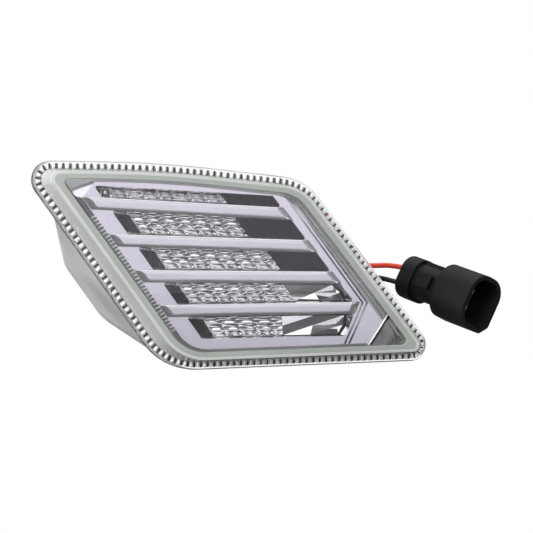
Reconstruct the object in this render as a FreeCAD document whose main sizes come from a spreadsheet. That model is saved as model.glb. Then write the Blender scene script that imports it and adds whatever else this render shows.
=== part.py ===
import FreeCAD, Part
import math
import os
import re
import Sketcher
from FreeCAD import Placement, Rotation, Vector

# Clear-lens scooter indicator: a rhomboid cap with a serrated rim over a slatted bright bezel and a
# pillow reflector, closed behind by a moulded bowl with a threaded boss, two wires and a sealed plug.
# Millimetres. The lens faces -Y, +X is right seen from the front and +Z is up. Each piece is drawn with
# the front of the lens rim at Y = 0 and then moved back, so that the origin is the mouth of the boss.

DEPTH_AXIS = "XZ_Plane"
ALONG_PLUG = "XY_Plane"

SIZES = (
    ("edge_right", 38.9, "rim, centre to right edge"),
    ("edge_left", 38.8, "rim, centre to left edge"),
    ("edge_top_left", 34.1, "rim, centre to left half of top edge"),
    ("edge_top_right", 31.7, "rim, centre to right half of top edge"),
    ("edge_bottom", 33.8, "rim, centre to bottom edge"),
    ("heading_right", 129.6, "rim, heading of right edge, degrees"),
    ("heading_top_right", 174.8, "rim, heading of right half of top edge, degrees"),
    ("heading_top_left", 180, "rim, heading of left half of top edge, degrees"),
    ("heading_left", -53.7, "rim, heading of left edge, degrees"),
    ("heading_bottom", 1.3, "rim, heading of bottom edge, degrees"),
    ("heading_chop", -127.7, "heading of the cut across the upper left corner, degrees"),
    ("corner_top_right", 20, "rim corner radius"),
    ("corner_top_left", 6.2, "rim corner radius"),
    ("corner_bottom_left", 22, "rim corner radius"),
    ("corner_bottom_right", 5.7, "rim corner radius"),
    ("crown_top", 400, "radius joining the halves of the top edge"),
    ("least_corner", 1.5, "smallest corner radius of an inner outline"),
    ("rim_thick", 3, "lens rim, thickness"),
    ("rim_round", 0.6, "lens rim, edge radius"),
    ("lip_width", 0.8, "smooth lip outside the serrations"),
    ("serration_width", 1.9, "serrated band, lip to cap"),
    ("serration_pitch", 2.35, "serrations, pitch"),
    ("serration_mouth", 1.5, "serration groove, width at the face"),
    ("serration_depth", 0.9, "serration groove, depth"),
    ("serration_stop", 0.15, "serration groove, end short of the cap"),
    ("cap_lean_side", 1.9, "cap side wall, lean of the slanted sides"),
    ("cap_lean_level", 0.8, "cap side wall, lean of top and bottom"),
    ("lens_height", 7.2, "lens front above the rim"),
    ("lens_crown", 1100, "lens front, radius"),
    ("lens_plate", 3.6, "lens front wall, thickness at the middle"),
    ("lens_wall_side", 8.3, "rim edge to lens cavity, slanted sides"),
    ("lens_wall_level", 5.5, "rim edge to lens cavity, top and bottom"),
    ("housing_inset", 0.9, "rim edge to housing wall"),
    ("housing_depth", 42, "rim front to housing back wall, outside"),
    ("housing_lean_side", 0.2, "housing wall, lean of the slanted sides"),
    ("housing_lean_level", 10.2, "housing wall, lean of top and bottom"),
    ("top_sag", 1.6, "housing, straight top below the mean height of the bowed rim"),
    ("chop_front", 62.5, "centre to housing corner cut, at the rim"),
    ("chop_back", 41.5, "centre to housing corner cut, at the back"),
    ("housing_corner", 8, "housing, corner radius"),
    ("housing_bevel_depth", 4, "housing, back edge bevel, depth"),
    ("housing_bevel", 2.8, "housing, back edge bevel, width"),
    ("housing_wall", 2.2, "housing, wall thickness"),
    ("seat_ledge", 1.8, "housing, ledge under the bezel flange"),
    ("seat_flange", 2, "housing, rim flange thickness"),
    ("fit_gap", 0.2, "clearance between fitted mouldings"),
    ("cut_over", 1, "overrun of a bore past the face that it opens"),
    ("bezel_flange", 1.7, "bezel flange, thickness"),
    ("bezel_gap", 0.5, "lens cavity to bezel front"),
    ("bezel_bevel_side", 1.5, "bezel edge bevel, slanted sides"),
    ("bezel_bevel_level", 1.2, "bezel edge bevel, top and bottom"),
    ("bezel_bevel_depth", 1.6, "bezel edge bevel, depth"),
    ("bezel_wall", 1.6, "bezel side wall, thickness"),
    ("bezel_plate", 2.2, "bezel front plate, thickness"),
    ("bezel_chop", 54.5, "centre to bezel corner facet"),
    ("bezel_chop_slope", 33, "bezel corner facet, slope, degrees"),
    ("window_left", 23.4, "centre to left end of the windows"),
    ("window_right", 25, "centre to right end of the windows"),
    ("window_top", 24, "height of the top window's upper edge"),
    ("window_bottom", -23.6, "height of the bottom window's lower edge"),
    ("window_corner", 0.6, "window corner radius"),
    ("window_end", 45.1, "centre to the turned right end of the bottom window"),
    ("heading_window_end", 68, "heading of that turned end, degrees"),
    ("slat_top", 18.3, "height of the top slat's middle"),
    ("slat_pitch", 10.85, "slats, pitch"),
    ("slat_height", 4.1, "slats, height"),
    ("slat_tilt", -0.8, "tilt of a slat at the middle, degrees"),
    ("slat_fan", -0.09, "change of tilt with height, degrees per mm"),
    ("trough_ramp", 5.4, "trough, run of the left end ramp"),
    ("trough_draft", 0.35, "trough, draft of the other walls"),
    ("trough_depth", 6.6, "trough, depth to the top of the pillows"),
    ("pillow_width", 5.5, "pillow, width"),
    ("pillow_groove", 0.7, "groove between pillows, depth"),
    ("pillow_mouth", 1.9, "groove between pillows, width"),
    ("reflector_floor", 3, "reflector, floor thickness"),
    ("tray_gap", 0.8, "bezel wall to reflector edge"),
    ("board_gap", 0.8, "reflector edge to board edge"),
    ("board_thick", 1.6, "circuit board, thickness"),
    ("lamp_long", 3, "lamp package, length"),
    ("lamp_wide", 2, "lamp package, width"),
    ("lamp_high", 1.2, "lamp package, height"),
    ("lamp_base", 0.84, "lamp package, height of the square base"),
    ("lamp_dome", 0.84, "lamp dome, radius"),
    ("lamp_spacing", 22, "lamps on one slat, spacing"),
    ("lamp_shift", 8.68, "lamps, shift across from slat to slat"),
    ("lamp_room", 0.35, "clearance round a lamp in its channel"),
    ("chip_long", 5, "driver chip, length"),
    ("chip_wide", 4, "driver chip, width"),
    ("chip_high", 1.6, "driver chip, height"),
    ("chip_x", 4, "driver chip, place across"),
    ("chip_z", 8, "driver chip, place in height"),
    ("diode_long", 4.4, "diode, length"),
    ("diode_wide", 2.6, "diode, width"),
    ("diode_high", 2.2, "diode, height"),
    ("diode_x", -6, "diode, place across"),
    ("diode_z", -6, "diode, place in height"),
    ("resistor_long", 3.2, "resistors, length"),
    ("resistor_wide", 1.6, "resistors, width"),
    ("resistor_high", 0.7, "resistors, height"),
    ("resistor_x", -4, "first resistor, place across"),
    ("resistor_spacing", 6, "resistors, spacing"),
    ("resistor_z", 14, "resistors, place in height"),
    ("can_radius", 3.1, "capacitor can, radius"),
    ("can_high", 5.5, "capacitor can, height"),
    ("can_x", 12, "capacitor, place across"),
    ("can_z", -12, "capacitor, place in height"),
    ("post_radius", 3.4, "board post, radius"),
    ("post_x", 24, "board posts, distance from the middle"),
    ("post_z", 6, "board posts, height from the middle"),
    ("screw_radius", 1.25, "board screw, shank radius"),
    ("screw_head", 2.5, "board screw, head radius"),
    ("screw_head_high", 1.5, "board screw, head height"),
    ("screw_reach", 8, "board screw, length below the head"),
    ("mount_depth", 46, "rim front to boss mouth"),
    ("boss_radius", 7, "rear boss, radius"),
    ("insert_radius", 3.6, "threaded insert, outer radius"),
    ("thread_radius", 2.1, "threaded insert, bore radius"),
    ("insert_length", 10, "threaded insert, length"),
    ("boss_floor", 2, "boss wall behind the insert"),
    ("peg_radius", 3, "locating peg, radius"),
    ("peg_length", 5, "locating peg, length"),
    ("peg_x", -27, "locating peg, place across"),
    ("peg_z", -6, "locating peg, place in height"),
    ("vent_x", 24, "breather, place across"),
    ("vent_z", 10, "breather, place in height"),
    ("vent_stem", 2, "breather stem, radius"),
    ("vent_cap", 4, "breather cap, radius"),
    ("vent_cap_thick", 1.8, "breather cap, thickness"),
    ("outlet_y", 35, "wire outlet, depth behind the rim front"),
    ("outlet_z", -1.5, "wire outlet, height"),
    ("outlet_start", 42, "wire outlet, inner end"),
    ("outlet_end", 53, "wire outlet, mouth"),
    ("outlet_radius", 5.6, "wire outlet, outer radius"),
    ("outlet_reach", 6, "wire outlet bore, run behind the inner end"),
    ("grommet_radius", 4, "grommet stem, radius"),
    ("grommet_stem", 6.5, "grommet stem, length"),
    ("grommet_head", 2, "grommet head, thickness"),
    ("wire_radius", 0.9, "wire insulation, radius"),
    ("wire_spacing", 3.4, "wires in the grommet, spacing"),
    ("wire_room", 0.05, "clearance round a wire"),
    ("plug_collar_high", 15.5, "plug collar, long axis"),
    ("plug_collar_wide", 13.5, "plug collar, short axis"),
    ("plug_collar_long", 6.5, "plug collar, length"),
    ("plug_neck_high", 13.2, "plug neck, long axis"),
    ("plug_neck_wide", 11.6, "plug neck, short axis"),
    ("plug_neck_long", 13.5, "plug neck, length"),
    ("plug_shroud_high", 19.5, "plug shroud, long axis"),
    ("plug_shroud_wide", 16.5, "plug shroud, short axis"),
    ("plug_shroud_long", 16, "plug shroud, length"),
    ("plug_wall", 1.6, "plug shroud, wall"),
    ("plug_floor", 3, "plug shroud, floor"),
    ("plug_round", 0.42, "plug corner radius, as a share of the short axis"),
    ("plug_key", 10.4, "plug shroud, centre to the keyed corner"),
    ("plug_rib_wide", 1.3, "plug neck ribs, width"),
    ("plug_rib_proud", 0.7, "plug neck ribs, height above the neck"),
    ("plug_rib_spacing", 5, "plug neck ribs, spacing"),
    ("latch_long", 5.5, "plug latch tooth, length"),
    ("latch_wide", 5, "plug latch tooth, width"),
    ("latch_proud", 1.5, "plug latch tooth, height above the neck"),
    ("latch_gap", 4, "plug collar to latch tooth"),
    ("pin_pitch", 6, "pins, pitch"),
    ("pin_radius", 0.75, "pins, radius"),
    ("pin_recess", 6, "pin tip below the plug mouth"),
    ("crimp_radius", 1.2, "pin crimp, radius"),
    ("crimp_length", 5, "pin crimp, length"),
    ("pin_room", 0.1, "clearance round a pin"),
    ("seal_radius", 2.4, "wire seal, radius"),
    ("seal_length", 7, "wire seal, length"),
    ("seal_pocket", 8.5, "wire seal pocket, depth"),
    ("lock_thick", 1.8, "terminal lock, thickness"),
)
ALIASES = {alias for alias, start, note in SIZES}
ROWS = range(5)
SLATS = range(4)
PILLOW_TIERS = (1, 3, 3, 3, 3)

# The plug hangs beside the lamp, its mouth turned towards the front.
PLUG_PLACE = Vector(80, 34, -4)
PLUG_AXIS = Vector(0.339, -0.907, -0.249)
PLUG_UP = Vector(0.4, -0.1, 0.911)

# Wire routes, from the solder pad on the board to the crimp in the plug.
RED_ROUTE = (
    (34, 10.7, 0.2),
    (34, 23, 0.2),
    (41, 35, 0.2),
    (63.5, 35, 0.2),
    (78.66, 40.5, 0.6),
    (84.08, 25.99, -3.39),
)
BLACK_ROUTE = (
    (30, 10.7, -3.2),
    (30, 23, -3.2),
    (39, 35, -3.2),
    (62.3, 35, -3.2),
    (76.49, 40.47, -5.04),
    (81.68, 26.59, -8.85),
)

doc = FreeCAD.newDocument("ScooterIndicator")
sheet = doc.addObject("Spreadsheet::Sheet", "Sizes")
for line, (alias, start, note) in enumerate(SIZES, start=1):
    sheet.set(f"A{line}", note)
    sheet.set(f"B{line}", str(start))
    sheet.setAlias(f"B{line}", alias)
doc.recompute()

nodes = []


def value(text):
    """The number that an expression of size names gives."""
    return float(sheet.evalExpression(text))


def bound(text):
    """The same expression as seen from outside the sheet."""
    return re.sub(r"[a-z][a-z_]*", lambda word: f"Sizes.{word[0]}" if word[0] in ALIASES else word[0], text)


def bind(thing, **expressions):
    """Tie properties of a document object to expressions of size names."""
    for name, text in expressions.items():
        thing.setExpression(name, bound(text))
    return thing


def at(thing, x="0", y="0", z="0"):
    """Tie the place of a primitive to expressions of size names."""
    for axis, text in (("x", x), ("y", y), ("z", z)):
        thing.setExpression(f".Placement.Base.{axis}", bound(text))
    return thing


def finish(thing, label, placement=None):
    """Name a finished piece and move it from the rim's frame to the boss's frame."""
    thing.Label = label
    if placement is None:
        depth = [text for path, text in thing.ExpressionEngine if path.endswith("Placement.Base.y")]
        thing.setExpression(".Placement.Base.y", " + ".join(depth + [bound("-mount_depth")]))
    else:
        thing.Placement = placement
    nodes.append(thing)
    return thing


def normal_of(heading):
    """Outward normal of an edge that is walked anticlockwise with this heading in degrees."""
    turn = math.radians(heading - 90)
    return Vector(math.cos(turn), math.sin(turn), 0)


def crossing(first, second, inset):
    """Point at the same inset from two edges, each given as a normal and a distance."""
    (n, d), (m, e) = first, second
    d, e = d - inset, e - inset
    spread = n.x * m.y - n.y * m.x
    return Vector((d * m.y - e * n.y) / spread, (e * n.x - d * m.x) / spread, 0)


def add_outline(sketch, edges, prefix=""):
    """Draw a closed convex outline. Each edge has a name, a heading, a distance from the centre and the
    radius of the corner that follows it, all but the name as expressions of size names."""
    lines = [(normal_of(value(heading)), value(distance)) for name, heading, distance, radius in edges]
    radii = [value(radius) for name, heading, distance, radius in edges]
    count = len(edges)
    centres = [crossing(lines[i], lines[(i + 1) % count], radii[i]) for i in range(count)]
    first = sketch.GeometryCount
    for i, (name, heading, distance, radius) in enumerate(edges):
        normal = lines[i][0]
        start = centres[i - 1] + normal * radii[i - 1]
        sketch.addGeometry(Part.LineSegment(start, centres[i] + normal * radii[i]))
    for i in range(count):
        begin = math.atan2(lines[i][0].y, lines[i][0].x)
        end = math.atan2(lines[(i + 1) % count][0].y, lines[(i + 1) % count][0].x)
        circle = Part.Circle(centres[i], Vector(0, 0, 1), radii[i])
        sketch.addGeometry(Part.ArcOfCircle(circle, begin, end))
    for i in range(count):
        arc = first + count + i
        sketch.addConstraint(Sketcher.Constraint("Tangent", first + i, 2, arc, 1))
        sketch.addConstraint(Sketcher.Constraint("Tangent", arc, 2, first + (i + 1) % count, 1))
    for i, (name, heading, distance, radius) in enumerate(edges):
        turn = sketch.addConstraint(Sketcher.Constraint("Angle", first + i, math.radians(value(heading))))
        reach = sketch.addConstraint(Sketcher.Constraint("Distance", -1, 1, first + i, abs(lines[i][1])))
        bend = sketch.addConstraint(Sketcher.Constraint("Radius", first + count + i, radii[i]))
        sign = "-" if lines[i][1] < 0 else ""
        for place, tag, text in ((turn, "turn", heading), (reach, "reach", f"{sign}({distance})"),
                                 (bend, "bend", radius)):
            sketch.renameConstraint(place, f"{prefix}{name}_{tag}")
            sketch.setExpression(f"Constraints.{prefix}{name}_{tag}", bound(text))


def rhomb(side="0", level="0"):
    """The rim's outline, drawn in by side on the slanted edges and by level at top and bottom."""
    return (
        ("right", "heading_right", f"edge_right - ({side})", f"max(corner_top_right - ({side}); least_corner)"),
        ("top_right", "heading_top_right", f"edge_top_right - ({level})", f"crown_top - ({level})"),
        ("top_left", "heading_top_left", f"edge_top_left - ({level})",
         f"max(corner_top_left - ({level}); least_corner)"),
        ("left", "heading_left", f"edge_left - ({side})", f"max(corner_bottom_left - ({side}); least_corner)"),
        ("bottom", "heading_bottom", f"edge_bottom - ({level})",
         f"max(corner_bottom_right - ({level}); least_corner)"),
    )


def chopped(side, level, chop, radius):
    """The bowl's outline: the rim's four sides, the top one straight, with both acute corners cut off."""
    return (
        ("right", "heading_right", f"edge_right - ({side})", f"corner_top_right - ({side})"),
        ("top", "(heading_top_left + heading_top_right) / 2",
         f"(edge_top_left + edge_top_right) / 2 - top_sag - ({level})", radius),
        ("upper_chop", "heading_chop", chop, radius),
        ("left", "heading_left", f"edge_left - ({side})", f"corner_bottom_left - ({side})"),
        ("bottom", "heading_bottom", f"edge_bottom - ({level})", radius),
        ("lower_chop", "heading_chop + 180", chop, radius),
    )


def chopped_rhomb(side, level, chop):
    """The rim's outline drawn in, bowed top edge and obtuse corners kept, with both acute corners cut off."""
    right, top_right, top_left, left, bottom = rhomb(side, level)
    return (
        right,
        top_right,
        top_left[:3] + ("least_corner",),
        ("upper_chop", "heading_chop", chop, "least_corner"),
        left,
        bottom[:3] + ("least_corner",),
        ("lower_chop", "heading_chop + 180", chop, "least_corner"),
    )


def oval(high, wide, inset="0", keyed=False):
    """Plug section: a rounded oblong, or one with a flat across its keyed corner."""
    radius = f"plug_round * ({wide}) - ({inset})"
    sides = [
        ("far", "90", f"({wide}) / 2 - ({inset})", radius),
        ("upper", "180", f"({high}) / 2 - ({inset})", radius),
        ("near", "-90", f"({wide}) / 2 - ({inset})", radius),
        ("lower", "0", f"({high}) / 2 - ({inset})", "least_corner" if keyed else radius),
    ]
    if keyed:
        sides.append(("key", "45", f"plug_key - ({inset})", "least_corner"))
    return sides


def new_body(name):
    return doc.addObject("PartDesign::Body", name)


def add_sketch(body, name, depth, outlines, plane=DEPTH_AXIS):
    """Sketch on one of the body's planes. On the upright plane, depth counts back from the rim front."""
    sketch = body.newObject("Sketcher::SketchObject", name)
    support = [f for f in body.Origin.OriginFeatures if f.Role == plane][0]
    sketch.AttachmentSupport = [(support, "")]
    sketch.MapMode = "FlatFace"
    sign = "-" if plane == DEPTH_AXIS else ""
    sketch.setExpression(".AttachmentOffset.Base.z", bound(f"{sign}({depth})"))
    for prefix, edges in outlines.items():
        add_outline(sketch, edges, prefix)
    return sketch


def add_pad(body, sketch, length, backwards=False):
    """Pad a sketch along its plane's normal, or against it."""
    pad = body.newObject("PartDesign::Pad", f"{sketch.Name}_pad")
    pad.Profile = sketch
    pad.Reversed = backwards
    return bind(pad, Length=length)


def add_pocket(body, sketch, length, forwards=False):
    """Cut a sketch against its plane's normal, or along it."""
    pocket = body.newObject("PartDesign::Pocket", f"{sketch.Name}_pocket")
    pocket.Profile = sketch
    pocket.Reversed = forwards
    return bind(pocket, Length=length)


def add_loft(body, kind, first, second):
    """Straight-sided loft between two outlines with as many edges."""
    loft = body.newObject(f"PartDesign::{kind}Loft", f"{first.Name}_loft")
    loft.Profile = first
    loft.Sections = [second]
    loft.Ruled = True
    return loft


def add_fillet(body, feature, radius, chosen):
    """Round the edges of a feature for which chosen(edge) is true."""
    doc.recompute()
    names = [f"Edge{i}" for i, edge in enumerate(feature.Shape.Edges, start=1) if chosen(edge)]
    fillet = body.newObject("PartDesign::Fillet", f"{feature.Name}_round")
    fillet.Base = (feature, names)
    return bind(fillet, Radius=radius)


def rod(name, radius, length, x="0", y="0", z="0", axis="Y"):
    """Cylinder from a point along X, Y or Z."""
    turns = {"X": Rotation(Vector(0, 1, 0), 90), "Y": Rotation(Vector(1, 0, 0), -90), "Z": Rotation()}
    cylinder = doc.addObject("Part::Cylinder", name)
    cylinder.Placement = Placement(Vector(), turns[axis])
    return at(bind(cylinder, Radius=radius, Height=length), x, y, z)


def block(name, long, deep, high, x="0", y="0", z="0"):
    """Box that is centred on X and Z and starts at a depth."""
    box = bind(doc.addObject("Part::Box", name), Length=long, Width=deep, Height=high)
    return at(box, f"({x}) - ({long}) / 2", y, f"({z}) - ({high}) / 2")


def joined(name, *pieces):
    """One solid from several that overlap."""
    fuse = doc.addObject("Part::MultiFuse", name)
    fuse.Shapes = list(pieces)
    return fuse


def cut(name, base, *tools):
    """A solid with others taken out of it."""
    result = doc.addObject("Part::Cut", name)
    result.Base = base
    result.Tool = tools[0] if len(tools) == 1 else joined(f"{name}_tools", *tools)
    return result


def shaped(name, shape):
    """A shape that is worked out point by point."""
    feature = doc.addObject("Part::Feature", name)
    feature.Shape = shape
    return feature


def prism(corners, reach):
    """Solid swept from a flat polygon."""
    return Part.Face(Part.makePolygon(corners + corners[:1])).extrude(reach)


# Depths behind the rim front that several pieces share
CAVITY_TOP = "lens_plate - lens_height"
BEZEL_FRONT = f"{CAVITY_TOP} + bezel_gap"
PLATE_BACK = f"{BEZEL_FRONT} + bezel_plate"
BEZEL_SEAT = "rim_thick + seat_flange"
PILLOW_TOP = f"{PLATE_BACK} + trough_depth"
BOARD_FRONT = f"{PILLOW_TOP} + reflector_floor"
BOARD_BACK = f"{BOARD_FRONT} + board_thick"
BACK_WALL = "housing_depth - housing_wall"
CAP_BASE = "lip_width + serration_width"


def make_lens():
    """Clear cap: a flat rim with radial serrations, a leaning side wall and a crowned front."""
    body = new_body("lens_cap")
    rim = add_sketch(body, "rim", "0", {"": rhomb()})
    flange = add_pad(body, rim, "rim_thick", backwards=True)
    add_fillet(body, flange, "rim_round", lambda edge: all(abs(v.Y) < 1e-6 for v in edge.Vertexes))
    foot = add_sketch(body, "cap_foot", "0", {"": rhomb(CAP_BASE, CAP_BASE)})
    head = add_sketch(body, "cap_head", "-lens_height", {
        "": rhomb(f"{CAP_BASE} + cap_lean_side", f"{CAP_BASE} + cap_lean_level")})
    add_loft(body, "Additive", foot, head)
    hollow = add_sketch(body, "cap_hollow", "rim_thick", {"": rhomb("lens_wall_side", "lens_wall_level")})
    add_pocket(body, hollow, f"rim_thick - ({CAVITY_TOP})", forwards=True)
    ball = bind(doc.addObject("Part::Sphere", "lens_ball"), Radius="lens_crown")
    at(ball, y="lens_crown - lens_height")
    crowned = doc.addObject("Part::Common", "lens_crowned")
    crowned.Base = body
    crowned.Tool = ball
    doc.recompute()
    finish(cut("lens_serrated", crowned, shaped("lens_grooves", serrations())), "lens")


def serrations():
    """The grooves between the rim's teeth, square to its edge all the way round."""
    path = doc.getObject("rim").Shape.Wires[0].makeOffset2D(-value("lip_width"))
    count = round(path.Length / value("serration_pitch"))
    stations = path.discretize(Number=count + 1)[:-1]
    deep = value("serration_depth")
    lift = deep / 8
    half = value("serration_mouth") / 2 * (deep + lift) / deep
    reach = value("serration_width - serration_stop")
    grooves = []
    for i, point in enumerate(stations):
        along = (stations[(i + 1) % count] - stations[i - 1]).normalize()
        inward = Vector(0, 1, 0).cross(along)
        if inward.dot(point) > 0:
            inward = -inward
        top = point - Vector(0, lift, 0)
        corners = [top + along * half, top - along * half, point + Vector(0, deep, 0)]
        grooves.append(prism(corners, inward * reach))
    return Part.Compound(grooves)


def make_housing():
    """Moulded bowl with a rim flange, a seat for the bezel, a rear boss, posts and a wire outlet."""
    body = new_body("bowl")
    front = add_sketch(body, "bowl_front", "rim_thick", {
        "": chopped("housing_inset", "housing_inset", "chop_front", "housing_corner")})
    side = "housing_inset + housing_lean_side"
    level = "housing_inset + housing_lean_level"
    shoulder = "housing_depth - housing_bevel_depth"
    edge = chopped(side, level, "chop_back", "housing_corner")
    back = add_sketch(body, "bowl_back", shoulder, {"": edge})
    add_loft(body, "Additive", front, back)
    bevel = add_sketch(body, "bowl_bevel", shoulder, {"": edge})
    rear = add_sketch(body, "bowl_rear", "housing_depth", {
        "": chopped(f"{side} + housing_bevel", f"{level} + housing_bevel", "chop_back - housing_bevel",
                    "housing_corner - housing_bevel")})
    add_loft(body, "Additive", bevel, rear)
    flange = add_sketch(body, "bowl_flange", "rim_thick", {"": rhomb("housing_inset", "housing_inset")})
    add_pad(body, flange, "seat_flange", backwards=True)
    inner = "housing_inset + housing_wall"
    ledge = f"{inner} + seat_ledge"
    mouth = add_sketch(body, "bowl_mouth", "rim_thick", {
        "": chopped(ledge, ledge, "chop_front - housing_wall - seat_ledge", "housing_corner - housing_wall")})
    floor = add_sketch(body, "bowl_floor", BACK_WALL, {
        "": chopped(f"{side} + housing_wall + housing_bevel", f"{level} + housing_wall + housing_bevel",
                    "chop_back - housing_wall - housing_bevel",
                    "housing_corner - housing_wall - housing_bevel")})
    add_loft(body, "Subtractive", mouth, floor)
    seat = add_sketch(body, "bowl_seat", "rim_thick", {
        "": chopped(inner, inner, "chop_front - housing_wall", "housing_corner - housing_wall")})
    add_pocket(body, seat, "seat_flange")
    boss_start = "mount_depth - insert_length - boss_floor"
    post_long = f"{BACK_WALL} - ({BOARD_BACK}) + housing_wall / 2"
    solid = joined(
        "bowl_with_bosses", body,
        rod("boss", "boss_radius", f"mount_depth - ({boss_start})", y=boss_start),
        rod("post_left", "post_radius", post_long, "-post_x", BOARD_BACK, "post_z"),
        rod("post_right", "post_radius", post_long, "post_x", BOARD_BACK, "-post_z"),
        rod("peg", "peg_radius", "peg_length + housing_wall / 2", "peg_x", "housing_depth - housing_wall / 2",
            "peg_z"),
        rod("outlet", "outlet_radius", "outlet_end - outlet_start", "outlet_start", "outlet_y", "outlet_z",
            "X"),
    )
    screw_hole = f"{BOARD_BACK} - cut_over"
    finish(cut(
        "bowl_bored", solid,
        rod("boss_bore", "insert_radius", "insert_length + cut_over", y="mount_depth - insert_length"),
        rod("hole_left", "screw_radius", "screw_reach + cut_over", "-post_x", screw_hole, "post_z"),
        rod("hole_right", "screw_radius", "screw_reach + cut_over", "post_x", screw_hole, "-post_z"),
        rod("outlet_bore", "grommet_radius", "outlet_end - outlet_start + outlet_reach + cut_over",
            "outlet_start - outlet_reach", "outlet_y", "outlet_z", "X"),
        rod("vent_hole", "vent_stem", "housing_wall + 2 * cut_over", "vent_x", f"{BACK_WALL} - cut_over",
            "vent_z"),
    ), "housing")


def make_back_fittings():
    """The threaded insert in the boss and the breather in the back wall."""
    start = "mount_depth - insert_length"
    finish(cut("insert", rod("insert_sleeve", "insert_radius", "insert_length", y=start),
               rod("insert_thread", "thread_radius", "insert_length + cut_over", y=start)), "mount_insert")
    finish(joined("vent", rod("vent_shank", "vent_stem", "housing_wall", "vent_x", BACK_WALL, "vent_z"),
                  rod("vent_top", "vent_cap", "vent_cap_thick", "vent_x", "housing_depth", "vent_z")),
           "vent_plug")


def slat_line(slat, offset):
    """Heading and distance of a line along a slat, offset upwards from its middle."""
    height = f"(slat_top - {slat} * slat_pitch)"
    tilt = f"(slat_tilt + slat_fan * {height})"
    return tilt, f"({height} + ({offset})) * cos({tilt} * 1 deg)"


def window(row, spread="0", ramp="0"):
    """Opening of one row: level edges that follow the slats, and ends along the rim's slanted sides."""
    if row == ROWS[0]:
        tilt, rise = slat_line(0, "window_top - slat_top")
    else:
        tilt, rise = slat_line(row - 1, "-slat_height / 2")
    if row == ROWS[-1]:
        slope, drop = slat_line(row - 1, f"window_bottom - slat_top + {row - 1} * slat_pitch")
    else:
        slope, drop = slat_line(row, "slat_height / 2")
    left = ("left", "heading_left", f"window_left + ({spread}) - ({ramp})", "window_corner")
    right = ("right", "heading_right", f"window_right + ({spread})", "window_corner")
    if row == ROWS[-1]:
        right = ("right", "heading_window_end", f"window_end + ({spread})", "window_corner")
    upper = ("upper", f"180 + {tilt}", f"{rise} + ({spread})", "window_corner")
    lower = ("lower", slope, f"-({drop}) + ({spread})", "window_corner")
    return (right, upper, left, lower)


def make_bezel():
    """Bright frame: a flange on the housing's ledge, a bevelled rim, four slats and two corner facets."""
    body = new_body("bezel_frame")
    inner = "housing_inset + housing_wall + fit_gap"
    side = "lens_wall_side + fit_gap"
    level = "lens_wall_level + fit_gap"
    hull = add_sketch(body, "bezel_flange_edge", BEZEL_SEAT, {
        "": chopped(inner, inner, "chop_front - housing_wall - fit_gap", "housing_corner - housing_wall")})
    add_pad(body, hull, "bezel_flange")
    shoulder = f"{BEZEL_FRONT} + bezel_bevel_depth"
    neck = add_sketch(body, "bezel_neck_edge", BEZEL_SEAT, {
        "": chopped_rhomb(side, level, "chop_front - housing_wall - fit_gap")})
    add_pad(body, neck, f"{BEZEL_SEAT} - ({shoulder})")
    wall = add_sketch(body, "bezel_wall_edge", "rim_thick - fit_gap", {"": rhomb(side, level)})
    add_pad(body, wall, f"rim_thick - fit_gap - ({shoulder})")
    foot = add_sketch(body, "bevel_foot", shoulder, {"": rhomb(side, level)})
    head = add_sketch(body, "bevel_head", BEZEL_FRONT, {
        "": rhomb(f"{side} + bezel_bevel_side", f"{level} + bezel_bevel_level")})
    add_loft(body, "Additive", foot, head)
    hollow = add_sketch(body, "bezel_hollow", BEZEL_SEAT, {
        "": chopped_rhomb(f"{side} + bezel_wall", f"{level} + bezel_wall", "bezel_chop - bezel_wall")})
    add_pocket(body, hollow, f"{BEZEL_SEAT} - ({PLATE_BACK})", forwards=True)
    openings = add_sketch(body, "bezel_windows", BEZEL_FRONT, {f"row{row}_": window(row) for row in ROWS})
    add_pocket(body, openings, "bezel_plate")
    finish(cut("bezel_faceted", body, facet_tool("upper_facet", 0), facet_tool("lower_facet", 180)), "bezel")


def facet_tool(name, turn):
    """Block whose underside is the sloped facet across one acute corner of the bezel."""
    outward = normal_of(value("heading_chop") + turn)
    outward = Vector(outward.x, 0, outward.y)
    slope = math.radians(value("bezel_chop_slope"))
    up = outward * math.sin(slope) + Vector(0, -1, 0) * math.cos(slope)
    across = up.cross(outward).normalize()
    span = value("edge_right + edge_left")
    edge = outward * value("bezel_chop") + Vector(0, value(BEZEL_FRONT), 0)
    box = doc.addObject("Part::Box", name)
    for name_of_side in ("Length", "Width", "Height"):
        box.setExpression(name_of_side, bound("edge_right + edge_left"))
    turned = Rotation(across, up.cross(across), up, "ZXY")
    box.Placement = Placement(edge - (across + up.cross(across)) * (span / 2), turned)
    return box


def lamp_places():
    """Number, slat and place across of each lamp."""
    spots = []
    for slat in SLATS:
        for side in (-1, 1):
            middle = f"({slat} - {len(SLATS) - 1} / 2) * lamp_shift"
            spots.append((len(spots) + 1, slat, f"{middle} + {side} * lamp_spacing / 2"))
    return spots


def lamp_height(slat, across):
    """Height of a slat's middle at a place across."""
    height = f"(slat_top - {slat} * slat_pitch)"
    return f"{height} + ({across}) * tan((slat_tilt + slat_fan * {height}) * 1 deg)"


def tray_outline(inset):
    """Edge of the reflector inside the bezel's wall, drawn in further for the board."""
    margin = f"fit_gap + bezel_wall + tray_gap + ({inset})"
    return chopped_rhomb(f"lens_wall_side + {margin}", f"lens_wall_level + {margin}",
                         f"bezel_chop - bezel_wall - tray_gap - ({inset})")


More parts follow.
